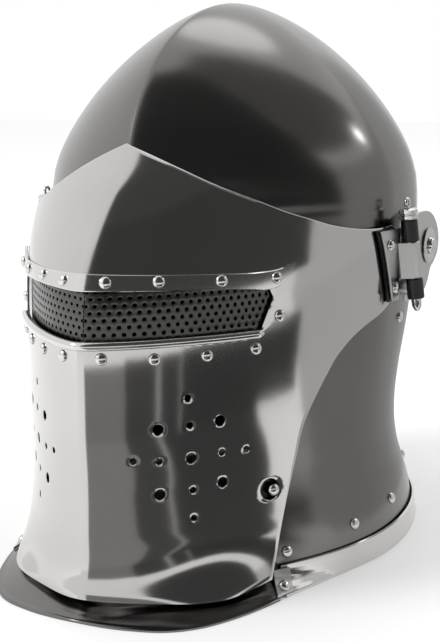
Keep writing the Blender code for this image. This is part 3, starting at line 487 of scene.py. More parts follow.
def made_object(name, points, faces, material, creases=(), sharp=35.0):
    """A mesh object at the origin, its faces turned outwards.

    Edges between two crease points, or sharper than sharp, break the shading.
    """
    mesh = bpy.data.meshes.new(name)
    corners = [tuple(point) for point in np.asarray(points, float)]
    mesh.from_pydata(corners, [], [tuple(face) for face in faces])
    mesh.validate()
    shell = bmesh.new()
    shell.from_mesh(mesh)
    bmesh.ops.recalc_face_normals(shell, faces=shell.faces)
    shell.to_mesh(mesh)
    shell.free()
    for polygon in mesh.polygons:
        polygon.use_smooth = True
    mesh.set_sharp_from_angle(angle=math.radians(sharp))
    if len(creases):
        marked = np.zeros(len(mesh.vertices), bool)
        marked[np.asarray(creases)] = True
        ends = np.empty(len(mesh.edges) * 2, np.int32)
        mesh.edges.foreach_get("vertices", ends)
        ends = ends.reshape(-1, 2)
        layer = mesh.attributes["sharp_edge"].data if "sharp_edge" in mesh.attributes else None
        if layer is None:
            layer = mesh.attributes.new("sharp_edge", "BOOLEAN", "EDGE").data
        values = np.empty(len(mesh.edges), bool)
        layer.foreach_get("value", values)
        layer.foreach_set("value", values | (marked[ends[:, 0]] & marked[ends[:, 1]]))
    made = bpy.data.objects.new(name, mesh)
    bpy.context.scene.collection.objects.link(made)
    made.data.materials.append(material)
    return made


def plate(name, surface, angles, heights, out, wall, material, cuts=(), rounding=0.0003, ring=False, apex=None, crease=None):
    """A thin plate: points surface(angle, height) moved out along the normal, on a grid of angles and heights.

    A cut is a function of (points, angles, heights) that gives the distance outside the cut: quads whose middle is
    inside one are left out, and the points at their edge slide along the surface to where the distance is 0.
    """
    rows, columns = angles.shape
    angles = angles.copy()
    heights = heights.copy()
    after = np.arange(1, columns + 1) % columns
    last = columns if ring else columns - 1
    grid = np.arange(rows * columns).reshape(rows, columns)
    quads = np.stack((grid[:-1, :last], grid[:-1, after[:last]], grid[1:, after[:last]], grid[1:, :last]), axis=-1)

    def depth(a, h):
        points = surface(a, h)
        return np.min([cut(points, a, h) for cut in cuts], axis=0)

    kept = np.ones(quads.shape[:2], bool)
    if cuts:
        inside = depth(angles, heights)
        kept = inside.reshape(-1)[quads].mean(axis=-1) > 0
    count = np.zeros(rows * columns, int)
    np.add.at(count, quads[kept].reshape(-1), 1)
    full = np.zeros(rows * columns, int)
    np.add.at(full, quads.reshape(-1), 1)
    slid = (count > 0) & (count < full)
    if slid.any():
        a = angles.reshape(-1)[slid]
        h = heights.reshape(-1)[slid]
        step = 1e-5
        for _ in range(3):
            here = depth(a, h)
            across = (depth(a + step / 0.12, h) - here) / step
            up = (depth(a, h + step) - here) / step
            size = np.maximum(across**2 + up**2, 0.2)
            move = np.clip(here, -0.002, 0.002) / size
            a = a - move * across / 0.12
            h = h - move * up
        angles.reshape(-1)[slid] = a
        heights.reshape(-1)[slid] = h
    faces = quads[kept].reshape(-1, 4)
    edges = np.concatenate([faces[:, [0, 1]], faces[:, [1, 2]], faces[:, [2, 3]], faces[:, [3, 0]]])
    code = edges[:, 0] * (rows * columns) + edges[:, 1]
    back = edges[:, 1] * (rows * columns) + edges[:, 0]
    rim = edges[~np.isin(code, back)]
    if apex is not None:
        top = grid[-1]
        rim = rim[~(np.isin(rim[:, 0], top) & np.isin(rim[:, 1], top))]
    lowered = np.zeros(rows * columns)
    lowered[rim.reshape(-1)] = rounding
    lowered = lowered.reshape(rows, columns)
    outer = offset(surface, angles, heights, out + wall - lowered).reshape(-1, 3)
    inner = offset(surface, angles, heights, out + 0.5 * lowered).reshape(-1, 3)
    total = rows * columns
    points = np.concatenate((outer, inner))
    all_faces = [tuple(face) for face in faces] + [tuple(face[::-1] + total) for face in faces]
    all_faces += [(start, start + total, end + total, end) for start, end in rim]
    if apex is not None:
        points = np.concatenate((points, [apex, np.array(apex) - (0, 0, wall)]))
        for column in range(columns):
            here, there = grid[-1, column], grid[-1, after[column]]
            all_faces.append((here, there, 2 * total))
            all_faces.append((there + total, here + total, 2 * total + 1))
    used = np.zeros(len(points), bool)
    used[np.unique(np.concatenate([np.array(face) for face in all_faces]))] = True
    number = np.cumsum(used) - 1
    creases = ()
    if crease is not None:
        column, highest = crease
        line = grid[:, column]
        line = line[heights.reshape(-1)[line] < highest]
        line = np.concatenate((line, line + total))
        creases = number[line[used[line]]]
    return made_object(name, points[used], [tuple(number[list(face)]) for face in all_faces], material, creases)


def solid_grid(name, outer, inner, material, sharp=35.0):
    """A closed plate between two grids of points."""
    rows, columns = outer.shape[:2]
    count = rows * columns
    grid = np.arange(count).reshape(rows, columns)
    quads = np.stack((grid[:-1, :-1], grid[:-1, 1:], grid[1:, 1:], grid[1:, :-1]), axis=-1).reshape(-1, 4)
    faces = [tuple(quad) for quad in quads] + [tuple(quad[::-1] + count) for quad in quads]
    loop = list(grid[0]) + list(grid[1:, -1]) + list(grid[-1, -2::-1]) + list(grid[-2:0:-1, 0])
    for here, there in zip(loop, loop[1:] + loop[:1]):
        faces.append((here, here + count, there + count, there))
    return made_object(name, np.concatenate((outer.reshape(-1, 3), inner.reshape(-1, 3))), faces, material, sharp=sharp)


def turned_parts(parts):
    """Profiles of (distance along, radius) turned about their axes. parts holds (profile, origin, axis, sides)."""
    points = []
    faces = []
    for profile, origin, axis, sides in parts:
        axis = np.array(Vector(axis).normalized())
        first = np.cross(axis, (1.0, 0.0, 0.0) if abs(axis[0]) < 0.9 else (0.0, 1.0, 0.0))
        first /= np.linalg.norm(first)
        second = np.cross(axis, first)
        turn = 2 * np.pi * np.arange(sides) / sides
        ring = np.cos(turn)[:, None] * first + np.sin(turn)[:, None] * second
        start = len(points)
        for along, radius in profile:
            points.extend(np.asarray(origin) + axis * along + ring * max(radius, 1e-6))
        for row in range(len(profile) - 1):
            for side in range(sides):
                after = (side + 1) % sides
                low = start + row * sides
                faces.append((low + side, low + after, low + sides + after, low + sides + side))
        faces.append(tuple(start + side for side in range(sides))[::-1])
        end = start + (len(profile) - 1) * sides
        faces.append(tuple(end + side for side in range(sides)))
    return points, faces


def dome_profile(radius, rise, steps=7):
    """A rivet head: height = rise * sqrt(1 - (distance / radius)^2), over a short straight foot."""
    turn = np.linspace(0, np.pi / 2, steps)
    return [(0.0, radius)] + [(0.12 * rise + 0.88 * rise * math.sin(t), radius * math.cos(t)) for t in turn]


def noise_group():
    """Low mottling of a value: out = 1 + amount * (noise - 0.5), at two scales of the object's own coordinates."""
    group = bpy.data.node_groups.new("mottle", "ShaderNodeTree")
    group.interface.new_socket("Scale", in_out="INPUT", socket_type="NodeSocketFloat")
    group.interface.new_socket("Amount", in_out="INPUT", socket_type="NodeSocketFloat")
    group.interface.new_socket("Value", in_out="OUTPUT", socket_type="NodeSocketFloat")
    nodes = group.nodes
    links = group.links
    entry = nodes.new("NodeGroupInput")
    leave = nodes.new("NodeGroupOutput")
    place = nodes.new("ShaderNodeTexCoord")
    noise = nodes.new("ShaderNodeTexNoise")
    noise.inputs["Detail"].default_value = 4.0
    links.new(place.outputs["Object"], noise.inputs["Vector"])
    links.new(entry.outputs["Scale"], noise.inputs["Scale"])
    middle = nodes.new("ShaderNodeMath")
    middle.operation = "SUBTRACT"
    middle.inputs[1].default_value = 0.5
    links.new(noise.outputs["Fac"], middle.inputs[0])
    part = nodes.new("ShaderNodeMath")
    part.operation = "MULTIPLY_ADD"
    links.new(middle.outputs[0], part.inputs[0])
    links.new(entry.outputs["Amount"], part.inputs[1])
    part.inputs[2].default_value = 1.0
    links.new(part.outputs[0], leave.inputs["Value"])
    return group


MOTTLE = noise_group()


def steel(name, colour, roughness, mottle=0.25, scale=18.0, bump=0.0, bump_scale=60.0):
    """Bare steel: the colour and the roughness each mottled, and an optional faint ripple of the surface."""
    material = bpy.data.materials.new(name)
    material.use_nodes = True
    nodes = material.node_tree.nodes
    links = material.node_tree.links
    shader = nodes["Principled BSDF"]
    shader.inputs["Metallic"].default_value = 1.0
    tone = nodes.new("ShaderNodeGroup")
    tone.node_tree = MOTTLE
    tone.inputs["Scale"].default_value = scale
    tone.inputs["Amount"].default_value = mottle
    colours = nodes.new("ShaderNodeVectorMath")
    colours.operation = "SCALE"
    colours.inputs[0].default_value = colour
    links.new(tone.outputs["Value"], colours.inputs["Scale"])
    links.new(colours.outputs["Vector"], shader.inputs["Base Color"])
    rough = nodes.new("ShaderNodeGroup")
    rough.node_tree = MOTTLE
    rough.inputs["Scale"].default_value = 2.7 * scale
    rough.inputs["Amount"].default_value = 1.4 * mottle
    times = nodes.new("ShaderNodeMath")
    times.operation = "MULTIPLY"
    times.inputs[1].default_value = roughness
    links.new(rough.outputs["Value"], times.inputs[0])
    links.new(times.outputs[0], shader.inputs["Roughness"])
    if bump:
        ripple = nodes.new("ShaderNodeGroup")
        ripple.node_tree = MOTTLE
        ripple.inputs["Scale"].default_value = bump_scale
        ripple.inputs["Amount"].default_value = 1.0
        relief = nodes.new("ShaderNodeBump")
        relief.inputs["Strength"].default_value = 1.0
        relief.inputs["Distance"].default_value = bump
        links.new(ripple.outputs["Value"], relief.inputs["Height"])
        links.new(relief.outputs["Normal"], shader.inputs["Normal"])
    return material


DARK = steel("dark satin steel", (0.185, 0.18, 0.174), 0.21, bump=0.00012, bump_scale=22.0)
POLISHED = steel("polished steel", (0.54, 0.53, 0.515), 0.11, 0.15, bump=0.0001, bump_scale=18.0)
BRIGHT = steel("bright steel", (0.66, 0.65, 0.63), 0.14)
SATIN = steel("light satin steel", (0.52, 0.52, 0.51), 0.30)
# Near black steel. On the hinge pads this is painted shade for the pads' shadowed edges under the leaves; the arm's
# outer knuckles are near black too.
NEAR_BLACK_AND_SHADE = steel("blackened steel", (0.05, 0.05, 0.05), 0.35)
# Sight plate: its colour is set far darker than the other steels as painted shade, so the plate reads near black in the
# recess behind the visor's slot.
SIGHT_PAINTED_SHADE = steel("sight steel with painted shade", (0.10, 0.098, 0.095), 0.28)


def dress(made, slot, *nodes):
    """The piece stands for these nodes and rides on their body. The slot is not used."""
    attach(made, NODE_BODY[nodes[0]])
    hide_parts(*nodes)
    return made


NODE_BODY = {}
for body, members in frame["record"]["behaviour"]["bodies"].items():
    for member in members:
        NODE_BODY[member] = body


def side_names():
    return (("left", 1), ("right", -1))


def circle_cut(surface, angle, height, radius):
    """Distance outside a round hole about this point of the surface."""
    centre = surface(angle, height)
    return lambda points, a, h: np.linalg.norm(points - centre, axis=-1) - radius


def outline_cut(outline):
    """Distance outside a closed outline of (y, z), carried across the helmet."""
    corners = np.array(outline)
    following = np.roll(corners, -1, axis=0)

    def cut(points, a, h):
        y = points[..., 1]
        z = points[..., 2]
        nearest = np.full(y.shape, 1.0)
        inside = np.zeros(y.shape, bool)
        for (y0, z0), (y1, z1) in zip(corners, following):
            length = (y1 - y0) ** 2 + (z1 - z0) ** 2
            share = np.clip(((y - y0) * (y1 - y0) + (z - z0) * (z1 - z0)) / length, 0, 1)
            nearest = np.minimum(nearest, np.hypot(y - y0 - share * (y1 - y0), z - z0 - share * (z1 - z0)))
            crosses = (z0 > z) != (z1 > z)
            rise = z1 - z0 if z1 != z0 else 1e-12
            inside ^= crosses & (y < y0 + (z - z0) * (y1 - y0) / rise)
        return np.where(inside, -nearest, nearest)

    return cut


def slot_cut(points, a, h):
    """Distance outside the sight: above SLOT_FLOOR, under SLOT_TOP_EDGE, and short of its slanting ends."""
    turned = np.degrees(np.abs(a))
    top = smooth(SLOT_TOP_EDGE, 1, turned) * HEIGHT
    rise = np.clip((h - SLOT_FLOOR) / 0.0165, 0, 1)
    end = SLOT_FLOOR_DEG + (SLOT_TOP_EDGE[-1, 0] - SLOT_FLOOR_DEG) * rise
    short = np.radians(end - turned) * 0.105
    return -np.minimum(np.minimum(h - SLOT_FLOOR, top - h), short)


def skull_smooth(angle, height):
    """The skull's surface, evened out over the joint of its table with its dome."""
    height = np.asarray(height, float)
    reach = 0.009 * np.clip((HEIGHT - height) / 0.06, 0, 1) * np.clip((height - 0.10) / 0.04, 0, 1)
    total = 0.0
    for step, weight in ((-1.6, 0.10), (-0.8, 0.24), (0.0, 0.32), (0.8, 0.24), (1.6, 0.10)):
        total = total + weight * skull_point(angle, height + step * reach)
    return total


def add_skull():
    """The bowl. Dome rows are even steps of the side profile s = (1 - rise^p)^(1/p)."""
    base = SKULL_ROWS[-1, 0] * HEIGHT
    low = np.concatenate((np.linspace(SKULL_FOOT, 0.03, 14)[:-1], np.linspace(0.03, base, 80)))
    shares = np.linspace(1, 0.012, 58)[1:]
    rises = (1 - shares**DOME_SIDE_POWER) ** (1 / DOME_SIDE_POWER)
    heights = np.concatenate((low, base + rises * (HEIGHT - base)))
    columns = np.linspace(-np.pi, np.pi, 291)[:-1]
    columns = np.sort(np.append(columns, (-0.0025, 0.0025)))
    angles = np.repeat(columns[None, :], len(heights), axis=0)
    grid = np.repeat(heights[:, None], len(columns), axis=1)
    edge = [(y * FRONT_REACH, z * HEIGHT) for y, z in FACE_EDGE]
    far = -2 * FRONT_REACH
    notch = NOTCH_Y * FRONT_REACH
    opening = [(far, -HEIGHT), (notch, -HEIGHT), (notch, NOTCH_HEIGHT), (edge[0][0], NOTCH_HEIGHT)]
    opening += edge[1:] + [(far, edge[-1][1])]
    crease = (int(np.argmin(np.abs(columns))), HEIGHT)
    apex = (0.0, DOME_APEX_Y, HEIGHT)
    made = plate(
        "skull_bowl", skull_smooth, angles, grid, -SKULL_WALL, SKULL_WALL, DARK,
        cuts=(outline_cut(opening),), ring=True, apex=apex, crease=crease,
    )
    dress(made, "dark_steel", "skull")


NOTCH_HEIGHT = 0.0150


def dense(start, end, fine, spacing, fine_spacing):
    """Steps from start to end, closer together inside each (low, high) of fine."""
    steps = [start]
    while steps[-1] < end:
        here = steps[-1]
        close = any(low <= here < high for low, high in fine)
        steps.append(here + (fine_spacing if close else spacing))
    steps[-1] = end
    return np.array(steps)


def add_visor():
    half = dense(0.0, 1.0, ((0.14, 0.75),), 0.018, 0.0085)
    across = np.concatenate((-half[:0:-1], half))
    edge = VISOR_REAR_EDGE
    heights = dense(edge[0, 0], edge[-1, 0], ((0.15, 0.37), (0.45, 0.46)), 0.0044, 0.0023)
    shares = (heights - edge[0, 0]) / (edge[-1, 0] - edge[0, 0])
    reach = smooth(edge, 1, heights)
    angles = across[None, :] * np.radians(reach)[:, None]
    foot = smooth(VISOR_FOOT_EDGE, 1, np.abs(across) * VISOR_FOOT_EDGE[-1, 0])
    top = smooth(VISOR_TOP_EDGE, 1, np.abs(across) * VISOR_TOP_EDGE[-1, 0])
    grid = (foot[None, :] * (1 - shares[:, None]) + top[None, :] * shares[:, None]) * HEIGHT
    cuts = [slot_cut]
    for angle, share, large in BREATHS:
        radius = (BREATH_LARGE if large else BREATH_SMALL) / 2
        for turn in (1, -1):
            cuts.append(circle_cut(visor_point, math.radians(turn * angle), share * HEIGHT, radius))
    cuts.append(circle_cut(visor_point, math.radians(LATCH_HOLE_DEG), LATCH_HOLE_Z, LATCH_HOLE_RADIUS))
    crease = (len(half) - 1, HEIGHT)
    made = plate(
        "visor_plate", visor_point, angles, grid, -VISOR_WALL, VISOR_WALL, POLISHED, cuts=cuts, crease=crease,
    )
    dress(made, "polished_steel", "visor")
    lip_end = math.radians(SLOT_FLOOR_DEG + 0.5)
    across = np.linspace(-lip_end, lip_end, 161)
    turn = np.linspace(-0.6 * np.pi, 0.75 * np.pi, 15)
    taper = np.clip((lip_end - np.abs(across)) / 0.02, 0.15, 1) ** 0.5
    outs = 0.0012 + 0.0021 * np.cos(turn[:, None]) * taper
    rises = SLOT_FLOOR - 0.0008 + 0.0023 * np.sin(turn[:, None]) * taper
    turned = np.repeat(across[None, :], len(turn), axis=0)
    outer = offset(visor_point, turned, rises, outs)
    inner = offset(visor_point, turned, SLOT_FLOOR - 0.0008 + 0.45 * (rises - SLOT_FLOOR + 0.0008), 0.3 * outs)
    lip = solid_grid("visor_lip", outer, inner, BRIGHT)
    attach(lip, NODE_BODY["visor"])


def add_band():
    end = BAND_EDGES[-1, 0]
    across = np.concatenate((np.linspace(0, 36, 61), np.linspace(36.3, end, 40)))
    across = np.concatenate((-across[:0:-1], across))
    low = smooth(BAND_EDGES, 1, np.abs(across)) * HEIGHT
    high = smooth(BAND_EDGES, 2, np.abs(across)) * HEIGHT
    high = np.maximum(high, low + 0.0004)
    shares = np.array((0, 0.05, 0.12, 0.3, 0.5, 0.7, 0.88, 0.95, 1))
    grid = low[None, :] + (high - low)[None, :] * shares[:, None]
    angles = np.radians(np.repeat(across[None, :], len(shares), axis=0))
    middle = len(across) // 2
    band = plate(
        "brow_band_bar", visor_point, angles, grid, GAP, BAND_WALL, BRIGHT, rounding=0.0005, crease=(middle, HEIGHT),
    )
    dress(band, "polished_steel", "brow_band")


SIGHT_PITCH = (0.0039, 0.0036)
SIGHT_HOLE_RADIUS = 0.00095


def sight_point(angle, height):
    """Just behind the visor's wall, its fold set a little deeper."""
    fold = SIGHT_FOLD_DEPTH * np.exp(-((np.degrees(angle) / SIGHT_FOLD_DEG) ** 2))
    return offset(visor_point, angle, height, -VISOR_WALL - 4 * GAP - SIGHT_WALL - fold)


def sight_cut(points, a, h):
    """Distance outside the nearest of a staggered field of round holes, laid out on (angle * 0.125, height)."""
    wide, tall = SIGHT_PITCH
    across = a * 0.125
    row = np.floor(h / tall)
    best = np.full(np.shape(h), 1.0)
    for step in (-1, 0, 1):
        line = row + step
        shift = np.where(np.mod(line, 2) < 1, 0.0, 0.5) * wide
        column = np.round((across - shift) / wide)
        gap = np.hypot(across - shift - column * wide, h - (line + 0.5) * tall)
        best = np.minimum(best, gap)
    return best - SIGHT_HOLE_RADIUS


def add_sight():
    across = np.radians(np.linspace(-43, 43, 271))
    heights = np.linspace(0.418, 0.570, 67) * HEIGHT
    angles, grid = np.meshgrid(across, heights)
    crease = (len(across) // 2, HEIGHT)
    # The sheet's darkened colour is painted shade.
    made = plate(
        "sight_sheet", sight_point, angles, grid, 0.0, SIGHT_WALL, SIGHT_PAINTED_SHADE, cuts=(sight_cut,), rounding=0.0001, crease=crease,
    )
    dress(made, "polished_steel", "sight_plate")


def foot_piece(name, angles, profile, material):
    """The foot ring's surface over fine rows of profile, and a wall inside it, flat underneath."""
    outer = foot_grid(angles, profile)
    normal = np.cross(np.gradient(outer, axis=1), np.gradient(outer, axis=0))
    normal /= np.linalg.norm(normal, axis=-1, keepdims=True)
    inner = outer - normal * RIM_WALL
    flat = outer[:, :, 2] < RIM_WALL + 0.0004
    inner[flat] = outer[flat] - (0, 0, RIM_WALL)
    inner[:, :, 2] = np.maximum(inner[:, :, 2], 0.0)
    outer[0, :, 2] -= 0.0004
    return solid_grid(name, outer, inner, material)


def foot_profile(steps):
    """FOOT_PROFILE as many rows: height above the rim as a smooth function of the flare's share."""
    shares = np.array([row[0] for row in FOOT_PROFILE])[::-1]
    rises = np.array([row[1] for row in FOOT_PROFILE])[::-1]
    at = np.linspace(1.0, 0.03, steps)
    return at, RIM_WALL + np.interp(at, shares, rises) * (FLARE_TOP - RIM_WALL)


def add_foot():
    joint = math.radians(FOOT_JOINT_DEG)
    slack = GAP / HALF_WIDTH
    shares, heights = foot_profile(26)
    kept = heights < TRIM_TOP - 0.0006
    angles = np.linspace(joint + slack, 2 * math.pi - joint - slack, 261)
    rows = [(share, height, FOOT_LAP) for share, height in zip(shares[kept], heights[kept])]
    rows += [(float(flare_share(TRIM_TOP)), TRIM_TOP, FOOT_LAP + GAP)]
    dress(foot_piece("rear_trim_band", angles, rows, BRIGHT), "polished_steel", "rear_trim")
    inside = -SKULL_WALL - COLLAR_SLACK
    end = joint - math.radians(1.6)
    laps = np.linspace(0, 1, int(kept.sum())) ** 3
    rows = [
        (share, height, FOOT_LAP + (inside - FOOT_LAP) * lap)
        for share, height, lap in zip(shares[kept], heights[kept], laps)
    ]
    rows += [(0.0, 0.017, inside), (0.0, 0.023, inside), (0.0, COLLAR_TOP, inside)]
    collar = foot_piece("front_collar_rim", np.linspace(-end, end, 121), rows, DARK)
    dress(collar, "dark_steel", "front_collar")
    for name, side in side_names():
        half = TAB_WIDTH / 2 / (FRONT_REACH * RIM_PLAN[6, 1])
        across = side * np.linspace(joint - half, joint + half, 13)
        rows = [(share, height, FOOT_LAP + GAP) for share, height in zip(shares[kept][2:], heights[kept][2:])]
        outer = foot_grid(across, rows)
        normal = np.cross(np.gradient(outer, axis=1), np.gradient(outer, axis=0)) * side
        normal /= np.linalg.norm(normal, axis=-1, keepdims=True)
        tab = solid_grid(f"clasp_tab_plate_{name}", outer + normal * (GAP + TAB_WALL), outer + normal * GAP, SATIN)
        dress(tab, "satin_steel", f"clasp_tab_{name}")
        middle = len(rows) // 2
        seat = outer[middle, 6] + normal[middle, 6] * (GAP + TAB_WALL)
        head = turned_parts([(dome_profile(*VISOR_RIVET), seat, normal[middle, 6], 24)])
        rivet = made_object(f"clasp_rivet_head_{name}", *head, BRIGHT)
        dress(rivet, "polished_steel", f"clasp_rivet_{name}")


def rivet_heads(name, rows, surface, out, size, material=BRIGHT):
    """One piece of many rivet heads. rows holds (node, angle in degrees, share of the height)."""
    parts = []
    for node, angle, share in rows:
        normal = normal_at(surface, math.radians(angle), share * HEIGHT)
        seat = offset(surface, math.radians(angle), share * HEIGHT, out)
        parts.append((dome_profile(*size), seat, normal, 24))
    made = made_object(name, *turned_parts(parts), material)
    return dress(made, "polished_steel", *[row[0] for row in rows])


def add_rivets():
    band_out = GAP + BAND_WALL
    leaf_out = 2 * GAP + PAD_WALL + LEAF_WALL
    brow, lip, side_rows, leaf, skull = [], [], [], [], []
    for name, side in side_names():
        brow += [(f"brow_rivet_{name}_{mark}", side * angle, share) for mark, angle, share in BAND_RIVETS]
        lip += [(f"lip_rivet_{name}_{mark}", side * angle, share) for mark, angle, share in LIP_RIVETS]
        side_rows.append((f"side_rivet_{name}", side * SIDE_RIVET[0], SIDE_RIVET[1]))
        leaf += [(f"leaf_rivet_{name}_{mark}", side * angle, share) for mark, angle, share in LEAF_RIVETS]
        skull += [(f"skull_rivet_{name}_{mark}", side * angle, share) for mark, angle, share in SKULL_RIVETS]
    rivet_heads("brow_rivet_heads", brow, visor_point, band_out, VISOR_RIVET)
    rivet_heads("lip_rivet_heads", lip, visor_point, 0.0, VISOR_RIVET)
    rivet_heads("side_rivet_heads", side_rows, visor_point, 0.0, VISOR_RIVET)
    rivet_heads("leaf_rivet_heads", leaf, visor_point, leaf_out, SKULL_RIVET)
    rivet_heads("skull_rivet_heads", skull, skull_point, 0.0, SKULL_RIVET)


def leaf_grid(side, front_back, rear_back, low_z, high_z, steps=17):
    """Angles and heights of a plate on the visor beside the hinge axis."""
    lean = math.tan(math.radians(LEAF_LEAN_DEG))
    heights = np.linspace(low_z, high_z, steps)
    share = np.linspace(0, 1, steps)[None, :]
    front = front_back - (heights[:, None] - HINGE_Z) * lean
    backs = front * (1 - share) + rear_back * share
    angles = np.arctan2(0.960 * HALF_WIDTH, CENTRE_Y - HINGE_Y - backs)
    return side * angles, np.repeat(heights[:, None], steps, axis=1)


def rounded(outline, times):
    """The outline with its corners cut again and again, a quarter of each side at a time."""
    points = np.array(outline)
    for _ in range(times):
        following = np.roll(points, -1, axis=0)
        points = np.stack((0.75 * points + 0.25 * following, 0.25 * points + 0.75 * following), axis=1).reshape(-1, 2)
    return points


def slab(outline, back_x, face_x):
    """A plate of this (y, z) outline between two values of x, its outer edges chamfered."""
    count = len(outline)
    middle = outline.mean(axis=0)
    edge = 0.0004 * (1 if face_x > back_x else -1)
    shrunk = middle + (outline - middle) * (1 - abs(edge) / np.abs(outline - middle).max())
    rings = ((back_x, outline), (face_x - edge, outline), (face_x, shrunk))
    points = np.concatenate([np.column_stack((np.full(count, x), ring)) for x, ring in rings])
    faces = [tuple(range(count)), tuple(range(3 * count - 1, 2 * count - 1, -1))]
    for ring in (0, 1):
        for corner in range(count):
            here = ring * count + corner
            there = ring * count + (corner + 1) % count
            faces.append((here, here + count, there + count, there))
    if face_x > back_x:
        faces = [face[::-1] for face in faces]
    return points, faces


def joined(shapes):
    """Several shapes' points and faces as one."""
    points = []
    faces = []
    for some_points, some_faces in shapes:
        start = len(points)
        points.extend(some_points)
        faces.extend(tuple(start + corner for corner in face) for face in some_faces)
    return points, faces


def add_hinge(name, side):
    origin, axis = hinge_frame()
    origin = np.array(origin) * (side, 1, 1)
    axis = np.array(axis) * (side, 1, 1)
    foot, low, high, head = KNUCKLE_CUTS
    leaf_low = HINGE_Z - 0.0287
    leaf_high = HINGE_Z + 0.0110
    angles, heights = leaf_grid(side, -0.0190, -0.0045, leaf_low, leaf_high)
    # The pad's near black colour is painted shade for its shadowed edge under the leaf.
    pad = plate(f"hinge_pad_plate_{name}", visor_point, angles, heights, GAP, PAD_WALL, NEAR_BLACK_AND_SHADE, rounding=0.0007)
    dress(pad, "black_steel", f"hinge_pad_{name}")
    angles, heights = leaf_grid(side, -0.0178, -0.0024, leaf_low + 0.0006, leaf_high - 0.0006)
    leaf = plate(
        f"hinge_leaf_plate_{name}", visor_point, angles, heights, 2 * GAP + PAD_WALL, LEAF_WALL, SATIN, rounding=0.0004,
    )
    dress(leaf, "satin_steel", f"hinge_leaf_{name}")
    radius = KNUCKLE_RADIUS

    def knuckle(start, end):
        return [(start, 0.90 * radius), (start + 0.0006, radius), (end - 0.0006, radius), (end, 0.90 * radius)]

    middle = made_object(f"hinge_knuckle_{name}", *turned_parts([(knuckle(low, high), origin, axis, 40)]), SATIN)
    back = np.array((0.0, 1.0, 0.0))
    outward = np.array((side, 0.0, 0.0))

    def rolled(at_back, from_axis):
        ends = [origin + axis * along + back * at_back + outward * from_axis for along in (low + GAP, high - GAP)]
        return ends[::side]

    outer_face = np.array((rolled(-0.0070, -0.0049), rolled(-0.0043, 0.0014)))
    inner_face = np.array((rolled(-0.0060, -0.0062), rolled(-0.0020, -0.0020)))
    wrap = solid_grid(f"hinge_wrap_{name}", outer_face, inner_face, SATIN)
    for made in (middle, wrap):
        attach(made, NODE_BODY[f"hinge_leaf_{name}"])
    spans = ((foot, low - GAP / 2), (high + GAP / 2, head))
    outer = made_object(
        f"arm_knuckles_{name}", *turned_parts([(knuckle(*span), origin, axis, 40) for span in spans]), NEAR_BLACK_AND_SHADE,
    )
    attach(outer, NODE_BODY[f"arm_{name}"])
    plate_back = side * (ARM_FACE - ARM_WALL)
    arm = [slab(rounded([(PIVOT_Y + y, PIVOT_Z + z) for y, z in ARM_OUTLINE], 3), plate_back, side * ARM_FACE)]
    for start, end in spans:
        corners = ((0.0016, start), (0.0085, start), (0.0085, end), (0.0016, end))
        link = [(HINGE_Y + across, HINGE_Z + along * 0.97) for across, along in corners]
        arm.append(slab(rounded(link, 2), plate_back, side * (HINGE_X + 0.0010)))
    dress(made_object(f"arm_plate_{name}", *joined(arm), SATIN), "satin_steel", f"arm_{name}")
    collar_low = head + GAP
    big = PIN_COLLAR_RADIUS
    profile = [
        (PIN_TIP, 0.0002), (PIN_TIP + 0.0004, 0.0011), (PIN_TIP + 0.0014, 0.0019), (PIN_TIP + 0.0032, 0.0026),
        (foot - GAP, PIN_RADIUS), (foot, PIN_RADIUS), (collar_low - GAP, PIN_RADIUS), (collar_low, 0.90 * big),
        (collar_low + 0.0004, 0.97 * big), (collar_low + 0.0020, 0.97 * big), (collar_low + 0.0024, 0.84 * big),
        (collar_low + 0.0029, 0.84 * big), (collar_low + 0.0033, big), (PIN_COLLAR_TOP - 0.0008, big),
        (PIN_COLLAR_TOP, 0.78 * big), (PIN_COLLAR_TOP + 0.0002, 0.0),
    ]
    points, faces = turned_parts([(profile, origin, axis, 40)])
    centre = origin + axis * (PIN_COLLAR_TOP + 0.86 * EYE_RADIUS)
    turn = 2 * np.pi * np.arange(32) / 32
    small = 2 * np.pi * np.arange(12) / 12
    start = len(points)
    for t in turn:
        for s in small:
            reach = 0.71 * EYE_RADIUS + 0.29 * EYE_RADIUS * math.cos(s)
            points.append(centre + (0.001 * math.sin(s), reach * math.cos(t), reach * math.sin(t)))
    for step in range(32):
        for corner in range(12):
            here = start + step * 12
            there = start + (step + 1) % 32 * 12
            after = (corner + 1) % 12
            faces.append((here + corner, there + corner, there + after, here + after))
    pin = made_object(f"hinge_pin_turned_{name}", points, faces, BRIGHT)
    dress(pin, "polished_steel", f"hinge_pin_{name}")

    centre = (0.0, PIVOT_Y, PIVOT_Z)
    face = ARM_FACE + GAP
    rim = WASHER_RADIUS
    ring = [
        (face, 0.90 * rim), (face + 0.2 * WASHER_WALL, rim), (face + 0.55 * WASHER_WALL, rim),
        (face + 0.9 * WASHER_WALL, 0.93 * rim), (face + WASHER_WALL, 0.86 * rim),
        (face + WASHER_WALL, 0.62 * rim), (face + 0.75 * WASHER_WALL, 0.56 * rim),
    ]
    washer = made_object(
        f"pivot_washer_ring_{name}", *turned_parts([(ring, centre, (side, 0, 0), 56)]), BRIGHT,
    )
    dress(washer, "polished_steel", f"pivot_washer_{name}")
    skull_at = pivot_skull_x()
    back = ARM_FACE - ARM_WALL - GAP
    head_at = face + 0.8 * WASHER_WALL
    shank = [
        (skull_at - SKULL_WALL - 0.0034, 0.0040), (skull_at - SKULL_WALL - 0.0016, 0.0046),
        (skull_at - SKULL_WALL - 0.0015, PIVOT_SHANK), (skull_at + 0.0016, PIVOT_SHANK),
        (skull_at + 0.0017, 0.0052), (back, 0.0052), (back, PIVOT_SHANK), (head_at, PIVOT_SHANK),
    ]
    cap = [(head_at + along, radius) for along, radius in dome_profile(0.0048, 0.0034)]
    rivet = made_object(
        f"pivot_rivet_turned_{name}", *turned_parts([(shank + cap, centre, (side, 0, 0), 40)]), BRIGHT,
    )
    dress(rivet, "polished_steel", f"pivot_rivet_{name}")


